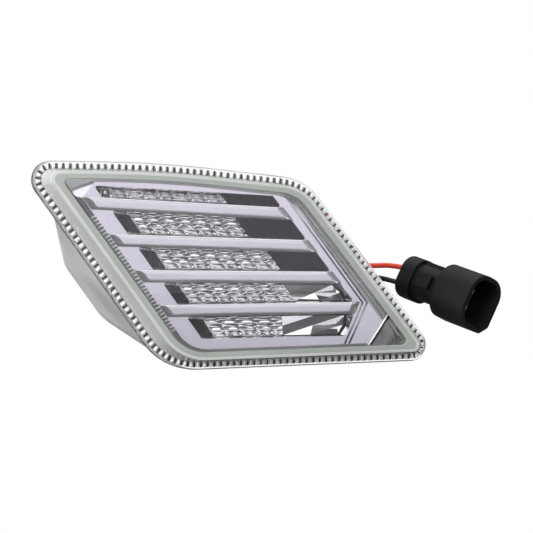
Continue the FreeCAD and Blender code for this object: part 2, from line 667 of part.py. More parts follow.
def make_reflector():
    """Bright tray: five troughs with a ramped left end and pillowed floors, and lamp channels."""
    body = new_body("reflector_tray")
    tray = add_sketch(body, "tray_edge", PLATE_BACK, {"": tray_outline("0")})
    add_pad(body, tray, f"{BOARD_FRONT} - ({PLATE_BACK})", backwards=True)
    for row in ROWS:
        mouth = add_sketch(body, f"trough_mouth_{row}", PLATE_BACK, {"": window(row)})
        floor = add_sketch(body, f"trough_floor_{row}", PILLOW_TOP, {
            "": window(row, "-trough_draft", "trough_ramp")})
        add_loft(body, "Subtractive", mouth, floor)
    doc.recompute()
    channels = []
    for number, slat, across in lamp_places():
        high = lamp_height(slat, across)
        start = f"{PILLOW_TOP} - trough_depth / 2"
        channels.append(block(f"channel_{number}", "lamp_long + 2 * lamp_room",
                              "trough_depth / 2 + reflector_floor", "lamp_wide + 2 * lamp_room", across, start, high))
        channels.append(block(f"slot_{number}", "lamp_long", "trough_depth / 3", "slat_height", across, start,
                              f"{high} - slat_height / 2"))
    for name, x, z in (("left", "-post_x", "post_z"), ("right", "post_x", "-post_z")):
        channels.append(rod(f"head_room_{name}", "screw_head + lamp_room", "screw_head_high + lamp_room", x,
                            f"{BOARD_FRONT} - screw_head_high - lamp_room", z))
    drilled = cut("tray_drilled", body, *channels)
    finish(cut("tray_pillowed", drilled, shaped("pillow_grooves", pillow_grooves())), "reflector")


def pillow_grooves():
    """V grooves that part the trough floors into pillows: uprights in columns and levels between tiers."""
    top = value(PILLOW_TOP)
    deep = value("pillow_groove")
    half = value("pillow_mouth") / 2
    grooves = []
    for row in ROWS:
        box = doc.getObject(f"trough_floor_{row}").Shape.BoundBox
        face = Part.Face(doc.getObject(f"trough_floor_{row}").Shape.Wires[0])
        cutters = []
        columns = int(box.XLength / value("pillow_width"))
        for column in range(1, columns + 1):
            x = box.XMin + column * value("pillow_width")
            corners = [Vector(x - half, top, box.ZMin), Vector(x + half, top, box.ZMin),
                       Vector(x, top + deep, box.ZMin)]
            cutters.append(prism(corners, Vector(0, 0, box.ZLength)))
        tilt = math.radians(value(slat_line(min(row, SLATS[-1]), "0")[0]))
        along = Vector(math.cos(tilt), 0, math.sin(tilt)) * box.XLength
        for tier in range(1, PILLOW_TIERS[row]):
            z = box.ZMin + box.ZLength * tier / PILLOW_TIERS[row] - along.z / 2
            corners = [Vector(box.XMin, top, z - half), Vector(box.XMin, top, z + half),
                       Vector(box.XMin, top + deep, z)]
            cutters.append(prism(corners, along))
        floor = face.extrude(Vector(0, 2 * deep, 0))
        grooves.append(floor.common(cutters[0].fuse(cutters[1:])))
    return Part.Compound(grooves)


def make_board():
    """Circuit board behind the reflector, with its lamps, parts and screws."""
    body = new_body("board_plate")
    edge = add_sketch(body, "board_edge", BOARD_FRONT, {"": tray_outline("board_gap")})
    add_pad(body, edge, "board_thick", backwards=True)
    hole = f"{BOARD_FRONT} - cut_over"
    drill = "screw_radius + fit_gap"
    through = "board_thick + 2 * cut_over"
    finish(cut("board_drilled", body,
               rod("board_hole_left", drill, through, "-post_x", hole, "post_z"),
               rod("board_hole_right", drill, through, "post_x", hole, "-post_z")),
           "circuit_board")
    for number, slat, across in lamp_places():
        high = lamp_height(slat, across)
        base = block(f"lamp_base_{number}", "lamp_long", "lamp_base", "lamp_wide", across,
                     f"{BOARD_FRONT} - lamp_base", high)
        dome = rod(f"lamp_dome_{number}", "lamp_dome", "lamp_high", across,
                   f"{BOARD_FRONT} - lamp_high", high)
        finish(joined(f"lamp_{number}", base, dome), f"led_{number}")
    finish(block("chip", "chip_long", "chip_high", "chip_wide", "chip_x", BOARD_BACK, "chip_z"),
           "driver_chip")
    finish(block("diode_pack", "diode_long", "diode_high", "diode_wide", "diode_x", BOARD_BACK, "diode_z"),
           "diode")
    for step in (0, 1):
        place = f"resistor_x + {step} * resistor_spacing"
        finish(block(f"resistor_body_{step}", "resistor_long", "resistor_high", "resistor_wide", place,
                     BOARD_BACK, "resistor_z"), f"resistor_{step + 1}")
    finish(rod("can", "can_radius", "can_high", "can_x", BOARD_BACK, "can_z"), "capacitor")
    for name, x, z, label in (("left", "-post_x", "post_z", "board_screw_1"),
                              ("right", "post_x", "-post_z", "board_screw_2")):
        finish(joined(f"screw_{name}",
                      rod(f"screw_head_{name}", "screw_head", "screw_head_high", x,
                          f"{BOARD_FRONT} - screw_head_high", z),
                      rod(f"screw_shank_{name}", "screw_radius", "screw_reach", x, BOARD_FRONT, z)), label)


def make_grommet():
    """Rubber grommet in the wire outlet, with a bore for each wire."""
    stem = rod("grommet_stem_rod", "grommet_radius", "grommet_stem", "outlet_end - grommet_stem", "outlet_y",
               "outlet_z", "X")
    head = rod("grommet_head_rod", "outlet_radius", "grommet_head", "outlet_end", "outlet_y", "outlet_z", "X")
    bore_long = "grommet_stem + grommet_head + 2 * cut_over"
    bore_start = "outlet_end - grommet_stem - cut_over"
    bores = [rod(f"grommet_bore_{name}", "wire_radius + wire_room", bore_long, bore_start, "outlet_y",
                 f"outlet_z + {side} * wire_spacing / 2", "X")
             for name, side in (("red", 1), ("black", -1))]
    finish(cut("grommet", joined("grommet_plug", stem, head), *bores), "wire_grommet")


def rounded_path(points):
    """Straight runs joined by arcs as large as the shorter run at each point allows."""
    edges = []
    radii = []
    start = points[0]
    for before, corner, after in zip(points, points[1:], points[2:]):
        arrive = (corner - before).normalize()
        leave = (after - corner).normalize()
        turn = arrive.getAngle(leave)
        trim = 0.45 * min((corner - before).Length, (after - corner).Length)
        radius = trim / math.tan(turn / 2)
        first = corner - arrive * trim
        last = corner + leave * trim
        inward = (leave - arrive).normalize()
        middle = corner + inward * (radius / math.cos(turn / 2) - radius)
        edges.append(Part.LineSegment(start, first).toShape())
        edges.append(Part.Arc(first, middle, last).toShape())
        radii.append(round(radius, 1))
        start = last
    edges.append(Part.LineSegment(start, points[-1]).toShape())
    return Part.Wire(edges), radii


def make_wires():
    """Insulated wires from the board, through the grommet, to the plug."""
    for label, route in (("red_wire", RED_ROUTE), ("black_wire", BLACK_ROUTE)):
        points = [Vector(*point) for point in route]
        path, radii = rounded_path(points)
        radius = value("wire_radius")
        ring = Part.Wire(Part.Circle(points[0], points[1] - points[0], radius).toShape())
        tube = path.makePipeShell([ring], True, False)
        section = math.pi * radius ** 2 * path.Length
        print(f"{label}: radii {radii}, length {path.Length:.1f}, volume ratio {tube.Volume / section:.4f}")
        finish(shaped(label, tube), label)


def plug_placement():
    """Placement of the plug: its axis runs from the collar to the mouth."""
    across = PLUG_UP.cross(PLUG_AXIS)
    turned = Rotation(across, PLUG_UP, PLUG_AXIS, "ZYX")
    return Placement(PLUG_PLACE - Vector(0, value("mount_depth"), 0), turned)


def make_plug():
    """Sealed two-way plug: shell, terminal lock, pins and wire seals."""
    place = plug_placement()
    neck_start = "plug_collar_long"
    shroud_start = f"{neck_start} + plug_neck_long"
    mouth = f"{shroud_start} + plug_shroud_long"
    floor = f"{shroud_start} + plug_floor"
    body = new_body("plug_shell")
    collar = add_sketch(body, "plug_collar", "0", {
        "": oval("plug_collar_high", "plug_collar_wide")}, ALONG_PLUG)
    add_pad(body, collar, "plug_collar_long")
    neck = add_sketch(body, "plug_neck", neck_start, {
        "": oval("plug_neck_high", "plug_neck_wide")}, ALONG_PLUG)
    add_pad(body, neck, "plug_neck_long")
    shroud = add_sketch(body, "plug_shroud", shroud_start, {
        "": oval("plug_shroud_high", "plug_shroud_wide", keyed=True)}, ALONG_PLUG)
    add_pad(body, shroud, "plug_shroud_long")
    well = add_sketch(body, "plug_well", mouth, {
        "": oval("plug_shroud_high", "plug_shroud_wide", "plug_wall", keyed=True)}, ALONG_PLUG)
    add_pocket(body, well, "plug_shroud_long - plug_floor")
    bores = []
    for name, side in (("red", 1), ("black", -1)):
        aside = f"{side} * pin_pitch / 2"
        bores.append(rod(f"seal_bore_{name}", "seal_radius", "seal_pocket", y=aside, axis="Z"))
        bores.append(rod(f"pin_bore_{name}", "crimp_radius + pin_room", floor, y=aside, axis="Z"))
    finish(cut("plug_bored", joined("plug_outside", body, *plug_grips(neck_start, shroud_start)), *bores),
           "connector_shell", place)
    make_lock(place, floor)
    for name, side, label in (("red", 1, "positive_pin"), ("black", -1, "negative_pin")):
        aside = f"{side} * pin_pitch / 2"
        crimp = rod(f"crimp_{name}", "crimp_radius", "crimp_length", y=aside, z="seal_pocket", axis="Z")
        blade = rod(f"pin_{name}", "pin_radius", f"{mouth} - pin_recess - seal_pocket", y=aside,
                    z="seal_pocket", axis="Z")
        finish(joined(f"terminal_{name}", crimp, blade), label, place)
        ring = rod(f"seal_{name}", "seal_radius", "seal_length", y=aside, axis="Z")
        bore = rod(f"seal_wire_{name}", "wire_radius + wire_room", "seal_length", y=aside, axis="Z")
        finish(cut(f"seal_ring_{name}", ring, bore), f"{name}_wire_seal", place)


def plug_grips(neck_start, shroud_start):
    """Two ribs along the top of the plug's neck and the latch tooth on its side."""
    length = f"{shroud_start} - ({neck_start})"
    grips = []
    for name, side in (("near", -1), ("far", 1)):
        grips.append(block(f"plug_rib_{name}", "plug_rib_wide", "plug_neck_high / 2 + plug_rib_proud", length,
                           f"{side} * plug_rib_spacing / 2", "0", f"({neck_start} + {shroud_start}) / 2"))
    grips.append(block("plug_latch", "latch_proud + plug_neck_wide / 4", "latch_wide", "latch_long",
                       "-(3 * plug_neck_wide / 8 + latch_proud / 2)", "-latch_wide / 2",
                       f"{neck_start} + latch_gap + latch_long / 2"))
    return grips


def make_lock(place, floor):
    """Plate on the floor of the plug's well that holds the pins."""
    body = new_body("lock_plate")
    inset = "plug_wall + fit_gap"
    plate = add_sketch(body, "lock_edge", floor, {
        "": oval("plug_shroud_high", "plug_shroud_wide", inset, keyed=True)}, ALONG_PLUG)
    add_pad(body, plate, "lock_thick")
    holes = [rod(f"lock_hole_{name}", "pin_radius + pin_room", f"{floor} + lock_thick",
                 y=f"{side} * pin_pitch / 2", axis="Z") for name, side in (("red", 1), ("black", -1))]
    finish(cut("lock", body, *holes), "terminal_lock", place)


def write_parts():
    """Check every object and write one file for each piece."""
    doc.recompute()
    for thing in doc.Objects:
        if {"Invalid", "Error"} & set(thing.State):
            raise RuntimeError(f"{thing.Name} failed: {thing.State}")
    os.makedirs("parts", exist_ok=True)
    for node in nodes:
        if node.Shape.isNull() or not node.Shape.isValid():
            raise RuntimeError(f"{node.Label} has no valid shape")
        node.Shape.exportStep(f"parts/{node.Label}.step")
        print(f"{node.Label}: {len(node.Shape.Solids)} solid, {node.Shape.Volume:.1f} mm3")


make_lens()
make_housing()
make_back_fittings()
make_bezel()
make_reflector()
make_board()
make_grommet()
make_wires()
make_plug()
write_parts()
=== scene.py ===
"""Looks of a clear-lens scooter indicator with a slatted bright bezel, in metres."""

import logging
import math
import random
from collections.abc import Callable
from dataclasses import dataclass, field
from enum import Enum

import bpy
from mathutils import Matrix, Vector

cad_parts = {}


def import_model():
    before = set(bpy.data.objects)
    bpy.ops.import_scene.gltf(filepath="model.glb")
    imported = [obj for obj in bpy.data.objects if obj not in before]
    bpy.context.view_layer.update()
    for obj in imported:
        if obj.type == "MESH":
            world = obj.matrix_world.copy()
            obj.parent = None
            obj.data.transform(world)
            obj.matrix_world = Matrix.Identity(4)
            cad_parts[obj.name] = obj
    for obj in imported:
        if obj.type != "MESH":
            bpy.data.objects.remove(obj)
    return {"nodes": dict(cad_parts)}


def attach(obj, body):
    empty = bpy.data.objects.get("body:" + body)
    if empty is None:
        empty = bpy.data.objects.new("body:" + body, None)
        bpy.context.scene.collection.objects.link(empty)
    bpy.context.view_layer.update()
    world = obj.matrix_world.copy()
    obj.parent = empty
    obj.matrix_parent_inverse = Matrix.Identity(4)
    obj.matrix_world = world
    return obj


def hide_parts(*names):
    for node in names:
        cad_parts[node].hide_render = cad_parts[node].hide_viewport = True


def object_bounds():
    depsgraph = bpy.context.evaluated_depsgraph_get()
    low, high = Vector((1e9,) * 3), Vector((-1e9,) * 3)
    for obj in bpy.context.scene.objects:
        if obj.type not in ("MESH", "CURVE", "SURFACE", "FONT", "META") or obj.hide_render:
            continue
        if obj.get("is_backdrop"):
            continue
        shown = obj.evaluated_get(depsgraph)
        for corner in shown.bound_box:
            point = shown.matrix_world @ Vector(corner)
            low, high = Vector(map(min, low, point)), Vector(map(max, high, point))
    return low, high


LOG = logging.getLogger("indicator")
BODY = "root"
MM = 0.001
Colour = tuple[float, float, float]
Point = tuple[float, float, float]
Flat = tuple[float, float]
Corners = tuple[Flat, Flat, Flat, Flat]
Face = tuple[int, ...]


class Shading(Enum):
    """How the faces of a piece are shaded."""

    FLAT = "flat"
    SMOOTH = "smooth"


@dataclass(frozen=True)
class Finish:
    """One surface finish: colour, gloss and the relief that breaks it up."""

    slot: str
    colour: Colour
    roughness: float
    metallic: float = 0.0
    grain: float = 900.0
    relief: float = 0.0
    spread: float = 0.06
    coat: float = 0.0
    specular: float = 0.5
    transmission: float = 0.0


GREY_HOUSING = Finish("grey_housing", (0.37, 0.375, 0.365), 0.55, grain=1400.0, relief=0.3,
                      spread=0.75)
BEZEL_PLATING = Finish("bright_bezel", (0.86, 0.835, 0.895), 0.16,
                       metallic=1.0, grain=260.0, relief=0.02, spread=0.05)
REFLECTOR_PLATING = Finish("bright_reflector", (0.93, 0.93, 0.94), 0.03,
                           metallic=1.0, grain=300.0, relief=0.01, spread=0.03)
SLAT_PLATING = Finish("slat_plating", (0.90, 0.89, 0.92), 0.2,
                      metallic=1.0, grain=260.0, relief=0.02, spread=0.3)
TOOTH_PLASTIC = Finish("tooth_plastic", (0.86, 0.87, 0.86), 0.1,
                       grain=600.0, relief=0.02, spread=0.03, coat=0.5,
                       transmission=0.35)
WALL_PLASTIC = Finish("wall_plastic", (0.90, 0.905, 0.895), 0.4, grain=1200.0, relief=0.04, spread=0.2,
                      transmission=0.7)
BAND_PLASTIC = Finish("band_plastic", (0.46, 0.49, 0.455), 0.38, grain=1200.0, relief=0.04, spread=0.25,
                      transmission=0.55)
# Near-black mirror plating that paints shade and dark reflections: on the troughs' ramps, the upper end
# facets, the bevel strip and the facet's shadow line.
PAINTED_SHADE_PLATING = Finish("painted_shade_plating", (0.012, 0.012, 0.014), 0.06,
                      metallic=1.0, grain=300.0, relief=0.01, spread=0.03)
LINE_PLATING = Finish("line_plating", (0.55, 0.54, 0.57), 0.2,
                      metallic=1.0, grain=300.0, relief=0.02, spread=0.05)
# Near-black paint for the shade that the clear rim's grooves show.
GROOVE_SHADE = Finish("groove_shade", (0.05, 0.05, 0.05), 0.2, grain=700.0, relief=0.02, spread=0.05)
# Plain white that paints highlights: on the bevel's ribs and along the facet's edge.
PAINTED_HIGHLIGHT = Finish("painted_highlight", (0.75, 0.75, 0.76), 0.3, grain=700.0, relief=0.02, spread=0.05)
BOARD_MASK = Finish("board", (0.04, 0.17, 0.08), 0.45, grain=700.0, relief=0.1)
LAMP_RESIN = Finish("lamp", (0.95, 0.75, 0.25), 0.2, grain=500.0, relief=0.02)
CHIP_EPOXY = Finish("chip", (0.02, 0.02, 0.022), 0.5, grain=1500.0, relief=0.15)
CAN_ALLOY = Finish("can", (0.75, 0.76, 0.78), 0.3, metallic=1.0, grain=500.0, relief=0.03)
SCREW_ZINC = Finish("screw_steel", (0.68, 0.69, 0.70), 0.35, metallic=1.0, grain=700.0, relief=0.04)
INSERT_BRASS = Finish("insert_brass", (0.80, 0.60, 0.27), 0.3, metallic=1.0, grain=600.0, relief=0.05)
VENT_RUBBER = Finish("vent_rubber", (0.025, 0.025, 0.027), 0.7, grain=1100.0, relief=0.2)
GROMMET_RUBBER = Finish("grommet_rubber", (0.02, 0.02, 0.021), 0.68, grain=1100.0, relief=0.2)
RED_SLEEVE = Finish("red_insulation", (0.60, 0.045, 0.02), 0.32, grain=800.0, relief=0.05)
BLACK_SLEEVE = Finish("black_insulation", (0.012, 0.012, 0.013), 0.35, grain=800.0, relief=0.05)
PLUG_NYLON = Finish("plug_black", (0.006, 0.006, 0.007), 0.5, grain=1300.0, relief=0.2,
                    spread=0.2, specular=0.25)
LOCK_NYLON = Finish("lock_plastic", (0.03, 0.03, 0.033), 0.5, grain=1300.0, relief=0.12)
PIN_TIN = Finish("pin_tin", (0.8, 0.8, 0.79), 0.25, metallic=1.0, grain=700.0, relief=0.03)
SEAL_SILICONE = Finish("seal_rubber", (0.22, 0.04, 0.02), 0.55, grain=900.0, relief=0.1)

NODE_FINISHES: dict[str, Finish] = {
    "housing": GREY_HOUSING,
    "bezel": BEZEL_PLATING,
    "reflector": REFLECTOR_PLATING,
    "circuit_board": BOARD_MASK,
    "driver_chip": CHIP_EPOXY,
    "diode": CHIP_EPOXY,
    "resistor_1": CHIP_EPOXY,
    "resistor_2": CHIP_EPOXY,
    "capacitor": CAN_ALLOY,
    "board_screw_1": SCREW_ZINC,
    "board_screw_2": SCREW_ZINC,
    "mount_insert": INSERT_BRASS,
    "vent_plug": VENT_RUBBER,
    "wire_grommet": GROMMET_RUBBER,
    "connector_shell": PLUG_NYLON,
    "terminal_lock": LOCK_NYLON,
    "positive_pin": PIN_TIN,
    "negative_pin": PIN_TIN,
    "red_wire_seal": SEAL_SILICONE,
    "black_wire_seal": SEAL_SILICONE,
}
LAMPS = tuple(f"led_{number}" for number in range(1, 9))


@dataclass(frozen=True)
class ClearPlastic:
    """Clear plastic that is glossy on faces square to the depth and satin on side walls."""

    slot: str = "clear_lens"
    ior: float = 1.49
    specular: float = 0.12
    wall_gloss: Colour = (0.16, 0.16, 0.16)
    front_gloss: Colour = (0.015, 0.015, 0.015)
    wall_tint: Colour = (0.86, 0.89, 0.86)
    front_tint: Colour = (0.99, 0.995, 0.99)
    passed_light: Colour = (0.96, 0.975, 0.965)
    wall_limit: float = 0.35
    front_limit: float = 0.62


CLEAR_PLASTIC = ClearPlastic()


def math_node(tree: bpy.types.NodeTree, operation: str,
              *terms: bpy.types.NodeSocket | float) -> bpy.types.Node:
    """Add a math node with its terms linked or set.

    Args:
        tree: Where to add it.
        operation: What it works out.
        terms: Sockets to link or values to set.

    Returns:
        The node.
    """
    node = tree.nodes.new("ShaderNodeMath")
    node.operation = operation
    for place, term in zip(node.inputs, terms):
        if isinstance(term, float):
            place.default_value = term
        else:
            tree.links.new(term, place)
    return node


@dataclass
class FinishShop:
    """Makes materials from finishes, with relief from one shared node group."""

    fine_detail: float = 4.0
    broad_detail: float = 3.0
    broad_scale: float = 45.0
    noise_middle: float = 0.5
    bump_distance: float = 0.2 * MM
    made: dict[str, bpy.types.Material] = field(default_factory=dict)
    group: bpy.types.NodeTree | None = None

    def surface_group(self) -> bpy.types.NodeTree:
        """Build the group that gives a surface its grain.

        Returns:
            A group with inputs Colour, Roughness, Grain and Spread, and outputs Colour, Roughness
            and Height.
        """
        if self.group is not None:
            return self.group
        tree = bpy.data.node_groups.new("surface_grain", "ShaderNodeTree")
        for name, kind in (("Colour", "NodeSocketColor"), ("Roughness", "NodeSocketFloat"),
                           ("Grain", "NodeSocketFloat"), ("Spread", "NodeSocketFloat")):
            tree.interface.new_socket(name, in_out="INPUT", socket_type=kind)
        for name, kind in (("Colour", "NodeSocketColor"), ("Roughness", "NodeSocketFloat"),
                           ("Height", "NodeSocketFloat")):
            tree.interface.new_socket(name, in_out="OUTPUT", socket_type=kind)
        inputs = tree.nodes.new("NodeGroupInput")
        outputs = tree.nodes.new("NodeGroupOutput")
        place = tree.nodes.new("ShaderNodeTexCoord")
        fine = tree.nodes.new("ShaderNodeTexNoise")
        fine.inputs["Detail"].default_value = self.fine_detail
        broad = tree.nodes.new("ShaderNodeTexNoise")
        broad.inputs["Scale"].default_value = self.broad_scale
        broad.inputs["Detail"].default_value = self.broad_detail
        tree.links.new(place.outputs["Object"], fine.inputs["Vector"])
        tree.links.new(place.outputs["Object"], broad.inputs["Vector"])
        tree.links.new(inputs.outputs["Grain"], fine.inputs["Scale"])
        centred = math_node(tree, "SUBTRACT", broad.outputs["Fac"], self.noise_middle)
        swing = math_node(tree, "MULTIPLY", centred.outputs[0], inputs.outputs["Spread"])
        rough = math_node(tree, "ADD", inputs.outputs["Roughness"], swing.outputs[0])
        rough.use_clamp = True
        shade = tree.nodes.new("ShaderNodeHueSaturation")
        brightness = math_node(tree, "ADD", swing.outputs[0], 1.0)
        tree.links.new(brightness.outputs[0], shade.inputs["Value"])
        tree.links.new(inputs.outputs["Colour"], shade.inputs["Color"])
        tree.links.new(shade.outputs["Color"], outputs.inputs["Colour"])
        tree.links.new(rough.outputs[0], outputs.inputs["Roughness"])
        tree.links.new(fine.outputs["Fac"], outputs.inputs["Height"])
        self.group = tree
        return tree

    def material(self, finish: Finish) -> bpy.types.Material:
        """Make or find the material of a finish.

        Args:
            finish: The finish to make.

        Returns:
            The material.
        """
        if finish.slot in self.made:
            return self.made[finish.slot]
        material = bpy.data.materials.new(finish.slot)
        material.use_nodes = True
        nodes, links = material.node_tree.nodes, material.node_tree.links
        shader = nodes["Principled BSDF"]
        shader.inputs["Metallic"].default_value = finish.metallic
        shader.inputs["Coat Weight"].default_value = finish.coat
        shader.inputs["Specular IOR Level"].default_value = finish.specular
        shader.inputs["Transmission Weight"].default_value = finish.transmission
        grain = nodes.new("ShaderNodeGroup")
        grain.node_tree = self.surface_group()
        grain.inputs["Colour"].default_value = (*finish.colour, 1.0)
        grain.inputs["Roughness"].default_value = finish.roughness
        grain.inputs["Grain"].default_value = finish.grain
        grain.inputs["Spread"].default_value = finish.spread
        links.new(grain.outputs["Colour"], shader.inputs["Base Color"])
        links.new(grain.outputs["Roughness"], shader.inputs["Roughness"])
        if finish.relief > 0.0:
            bump = nodes.new("ShaderNodeBump")
            bump.inputs["Strength"].default_value = finish.relief
            bump.inputs["Distance"].default_value = self.bump_distance
            links.new(grain.outputs["Height"], bump.inputs["Height"])
            links.new(bump.outputs["Normal"], shader.inputs["Normal"])
        self.made[finish.slot] = material
        return material

    def clear_lens(self) -> bpy.types.Material:
        """Make the clear plastic: glossy front and rim, satin side walls, and light let through.

        Returns:
            The material.
        """
        clear = CLEAR_PLASTIC
        material = bpy.data.materials.new(clear.slot)
        material.use_nodes = True
        tree = material.node_tree
        nodes, links = tree.nodes, tree.links
        shader = nodes["Principled BSDF"]
        shader.inputs["IOR"].default_value = clear.ior
        shader.inputs["Specular IOR Level"].default_value = clear.specular
        shader.inputs["Transmission Weight"].default_value = 1.0
        facing = nodes.new("ShaderNodeGroup")
        facing.node_tree = self.facing_group()
        gloss = self.ramp(nodes, clear.wall_gloss, clear.front_gloss)
        tint = self.ramp(nodes, clear.wall_tint, clear.front_tint)
        links.new(facing.outputs["Front"], gloss.inputs["Fac"])
        links.new(facing.outputs["Front"], tint.inputs["Fac"])
        links.new(gloss.outputs["Color"], shader.inputs["Roughness"])
        links.new(tint.outputs["Color"], shader.inputs["Base Color"])
        through = nodes.new("ShaderNodeBsdfTransparent")
        through.inputs["Color"].default_value = (*clear.passed_light, 1.0)
        path = nodes.new("ShaderNodeLightPath")
        either = math_node(tree, "MAXIMUM", path.outputs["Is Shadow Ray"], path.outputs["Is Diffuse Ray"])
        mix = nodes.new("ShaderNodeMixShader")
        links.new(either.outputs[0], mix.inputs["Fac"])
        links.new(shader.outputs["BSDF"], mix.inputs[1])
        links.new(through.outputs["BSDF"], mix.inputs[2])
        links.new(mix.outputs["Shader"], nodes["Material Output"].inputs["Surface"])
        return material

    def facing_group(self) -> bpy.types.NodeTree:
        """Build the group that tells front faces from side walls.

        Returns:
            A group whose output Front is 1 on faces square to the depth and 0 on side walls.
        """
        tree = bpy.data.node_groups.new("front_faces", "ShaderNodeTree")
        tree.interface.new_socket("Front", in_out="OUTPUT", socket_type="NodeSocketFloat")
        outputs = tree.nodes.new("NodeGroupOutput")
        surface = tree.nodes.new("ShaderNodeNewGeometry")
        parts = tree.nodes.new("ShaderNodeSeparateXYZ")
        size = math_node(tree, "ABSOLUTE", parts.outputs["Y"])
        spread = tree.nodes.new("ShaderNodeMapRange")
        spread.inputs["From Min"].default_value = CLEAR_PLASTIC.wall_limit
        spread.inputs["From Max"].default_value = CLEAR_PLASTIC.front_limit
        tree.links.new(surface.outputs["True Normal"], parts.inputs["Vector"])
        tree.links.new(size.outputs[0], spread.inputs["Value"])
        tree.links.new(spread.outputs["Result"], outputs.inputs["Front"])
        return tree

    def ramp(self, nodes: bpy.types.Nodes, low: Colour, high: Colour) -> bpy.types.Node:
        """Add a colour ramp.

        Args:
            nodes: Where to add it.
            low: Colour at 0.
            high: Colour at 1.

        Returns:
            The ramp's node.
        """
        node = nodes.new("ShaderNodeValToRGB")
        for element, colour in zip(node.color_ramp.elements, (low, high)):
            element.color = (*colour, 1.0)
        return node


@dataclass
class LampBody:
    """The lamp itself: lens, housing, bezel, reflector, board and fittings."""

    shop: FinishShop
    nodes: dict[str, bpy.types.Object]

    def dress(self) -> None:
        """Give every carried-over piece its finish."""
        for name, finish in NODE_FINISHES.items():
            self.put_on(name, self.shop.material(finish))
        for name in LAMPS:
            self.put_on(name, self.shop.material(LAMP_RESIN))
        self.put_on("lens", self.shop.clear_lens())

    def put_on(self, name: str, material: bpy.types.Material) -> None:
        """Put one material on one piece.

        Args:
            name: The piece's name.
            material: The material for all of it.
        """
        slots = self.nodes[name].data.materials
        slots.clear()
        slots.append(material)
        LOG.info("dressed %s in %s", name, material.name)


@dataclass(frozen=True)
class FaceLayout:
    """Lines of the bezel's face and the reflector's troughs, as the solids have them."""

    bezel_front: float = -49.1 * MM
    trough_floor: float = -40.3 * MM
    left_heading: float = math.radians(-53.7)
    right_heading: float = math.radians(129.6)
    end_heading: float = math.radians(68.0)
    window_left: float = 23.4 * MM
    window_right: float = 25.0 * MM
    window_end: float = 45.1 * MM
    window_top: float = 24.0 * MM
    window_bottom: float = -23.6 * MM
    slat_top: float = 18.3 * MM
    slat_pitch: float = 10.85 * MM
    slat_height: float = 4.1 * MM
    slat_tilt: float = math.radians(-0.8)
    slat_fan: float = math.radians(-0.09) / MM
    trough_ramp: float = 5.4 * MM
    trough_depth: float = 6.6 * MM
    trough_draft: float = 0.35 * MM
    bevel_edge: float = 30.2 * MM
    bevel_width: float = 1.5 * MM
    bevel_depth: float = 1.6 * MM
    slats: int = 4

    def slat_middle(self, slat: int) -> float:
        """Height of a slat's middle at the centre."""
        return self.slat_top - slat * self.slat_pitch

    def corner(self, slat: int, height: float, heading: float, distance: float) -> Flat:
        """Crossing of a line along a slat with a slanted edge.

        Args:
            slat: Number of the slat, from the top.
            height: Height of the slat's line at the centre.
            heading: Heading of the edge.
            distance: Distance of the edge from the centre.

        Returns:
            Place across and height of the crossing.
        """
        slope = math.tan(self.slat_tilt + self.slat_fan * self.slat_middle(slat))
        across, up = math.sin(heading), -math.cos(heading)
        x = (distance - up * height) / (across + up * slope)
        return x, height + x * slope

    def row_corners(self, row: int) -> Corners:
        """Corners of a trough's floor: lower left, lower right, upper right, upper left.

        Args:
            row: Number of the row, from the top.

        Returns:
            The four corners.
        """
        above, below = max(row - 1, 0), min(row, self.slats - 1)
        half = self.slat_height / 2.0 + self.trough_draft
        upper = self.window_top - self.trough_draft if row == 0 else self.slat_middle(above) - half
        lower = self.slat_middle(below) + half
        left = (self.left_heading, self.window_left - self.trough_draft - self.trough_ramp)
        right = (self.right_heading, self.window_right - self.trough_draft)
        if row == self.slats:
            lower = self.window_bottom + self.trough_draft
            right = (self.end_heading, self.window_end - self.trough_draft)
        return (self.corner(below, lower, *left), self.corner(below, lower, *right),
                self.corner(above, upper, *right), self.corner(above, upper, *left))


def blend_corners(corners: Corners, along: float, up: float) -> Flat:
    """Point inside a four-cornered field.

    Args:
        corners: Lower left, lower right, upper right and upper left.
        along: Share of the way from left to right.
        up: Share of the way from bottom to top.

    Returns:
        The point.
    """
    low_left, low_right, high_right, high_left = corners
    return tuple((1 - up) * ((1 - along) * low_left[i] + along * low_right[i])
                 + up * ((1 - along) * high_left[i] + along * high_right[i]) for i in (0, 1))


def add_piece(name: str, points: list[Point], faces: list[Face], material: bpy.types.Material,
              shading: Shading) -> None:
    """Make one rigid piece of the lamp.

    Args:
        name: Name of the piece.
        points: Its corners.
        faces: Its faces.
        material: Its material.
        shading: How its faces are shaded.
    """
    mesh = bpy.data.meshes.new(name)
    mesh.from_pydata(points, [], faces)
    mesh.validate()
    mesh.polygons.foreach_set("use_smooth", [shading is Shading.SMOOTH] * len(mesh.polygons))
    mesh.materials.append(material)
    piece = bpy.data.objects.new(name, mesh)
    bpy.context.scene.collection.objects.link(piece)
    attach(piece, BODY)
    LOG.info("made %s with %d faces", name, len(faces))


def crown(share: float, power: int) -> float:
    """Rounded profile, 0 at both ends and 1 in the middle, and flatter for a higher power."""
    return 1.0 - (2.0 * share - 1.0) ** power


def gather(points: list[Point], faces: list[Face], sheet: tuple[list[Point], list[Face]]) -> None:
    """Add a closed sheet to the points and faces of a piece.

    Args:
        points: The piece's points so far.
        faces: The piece's faces so far.
        sheet: Points and faces of the sheet.
    """
    start = len(points)
    points.extend(sheet[0])
    faces.extend(tuple(start + index for index in face) for face in sheet[1])


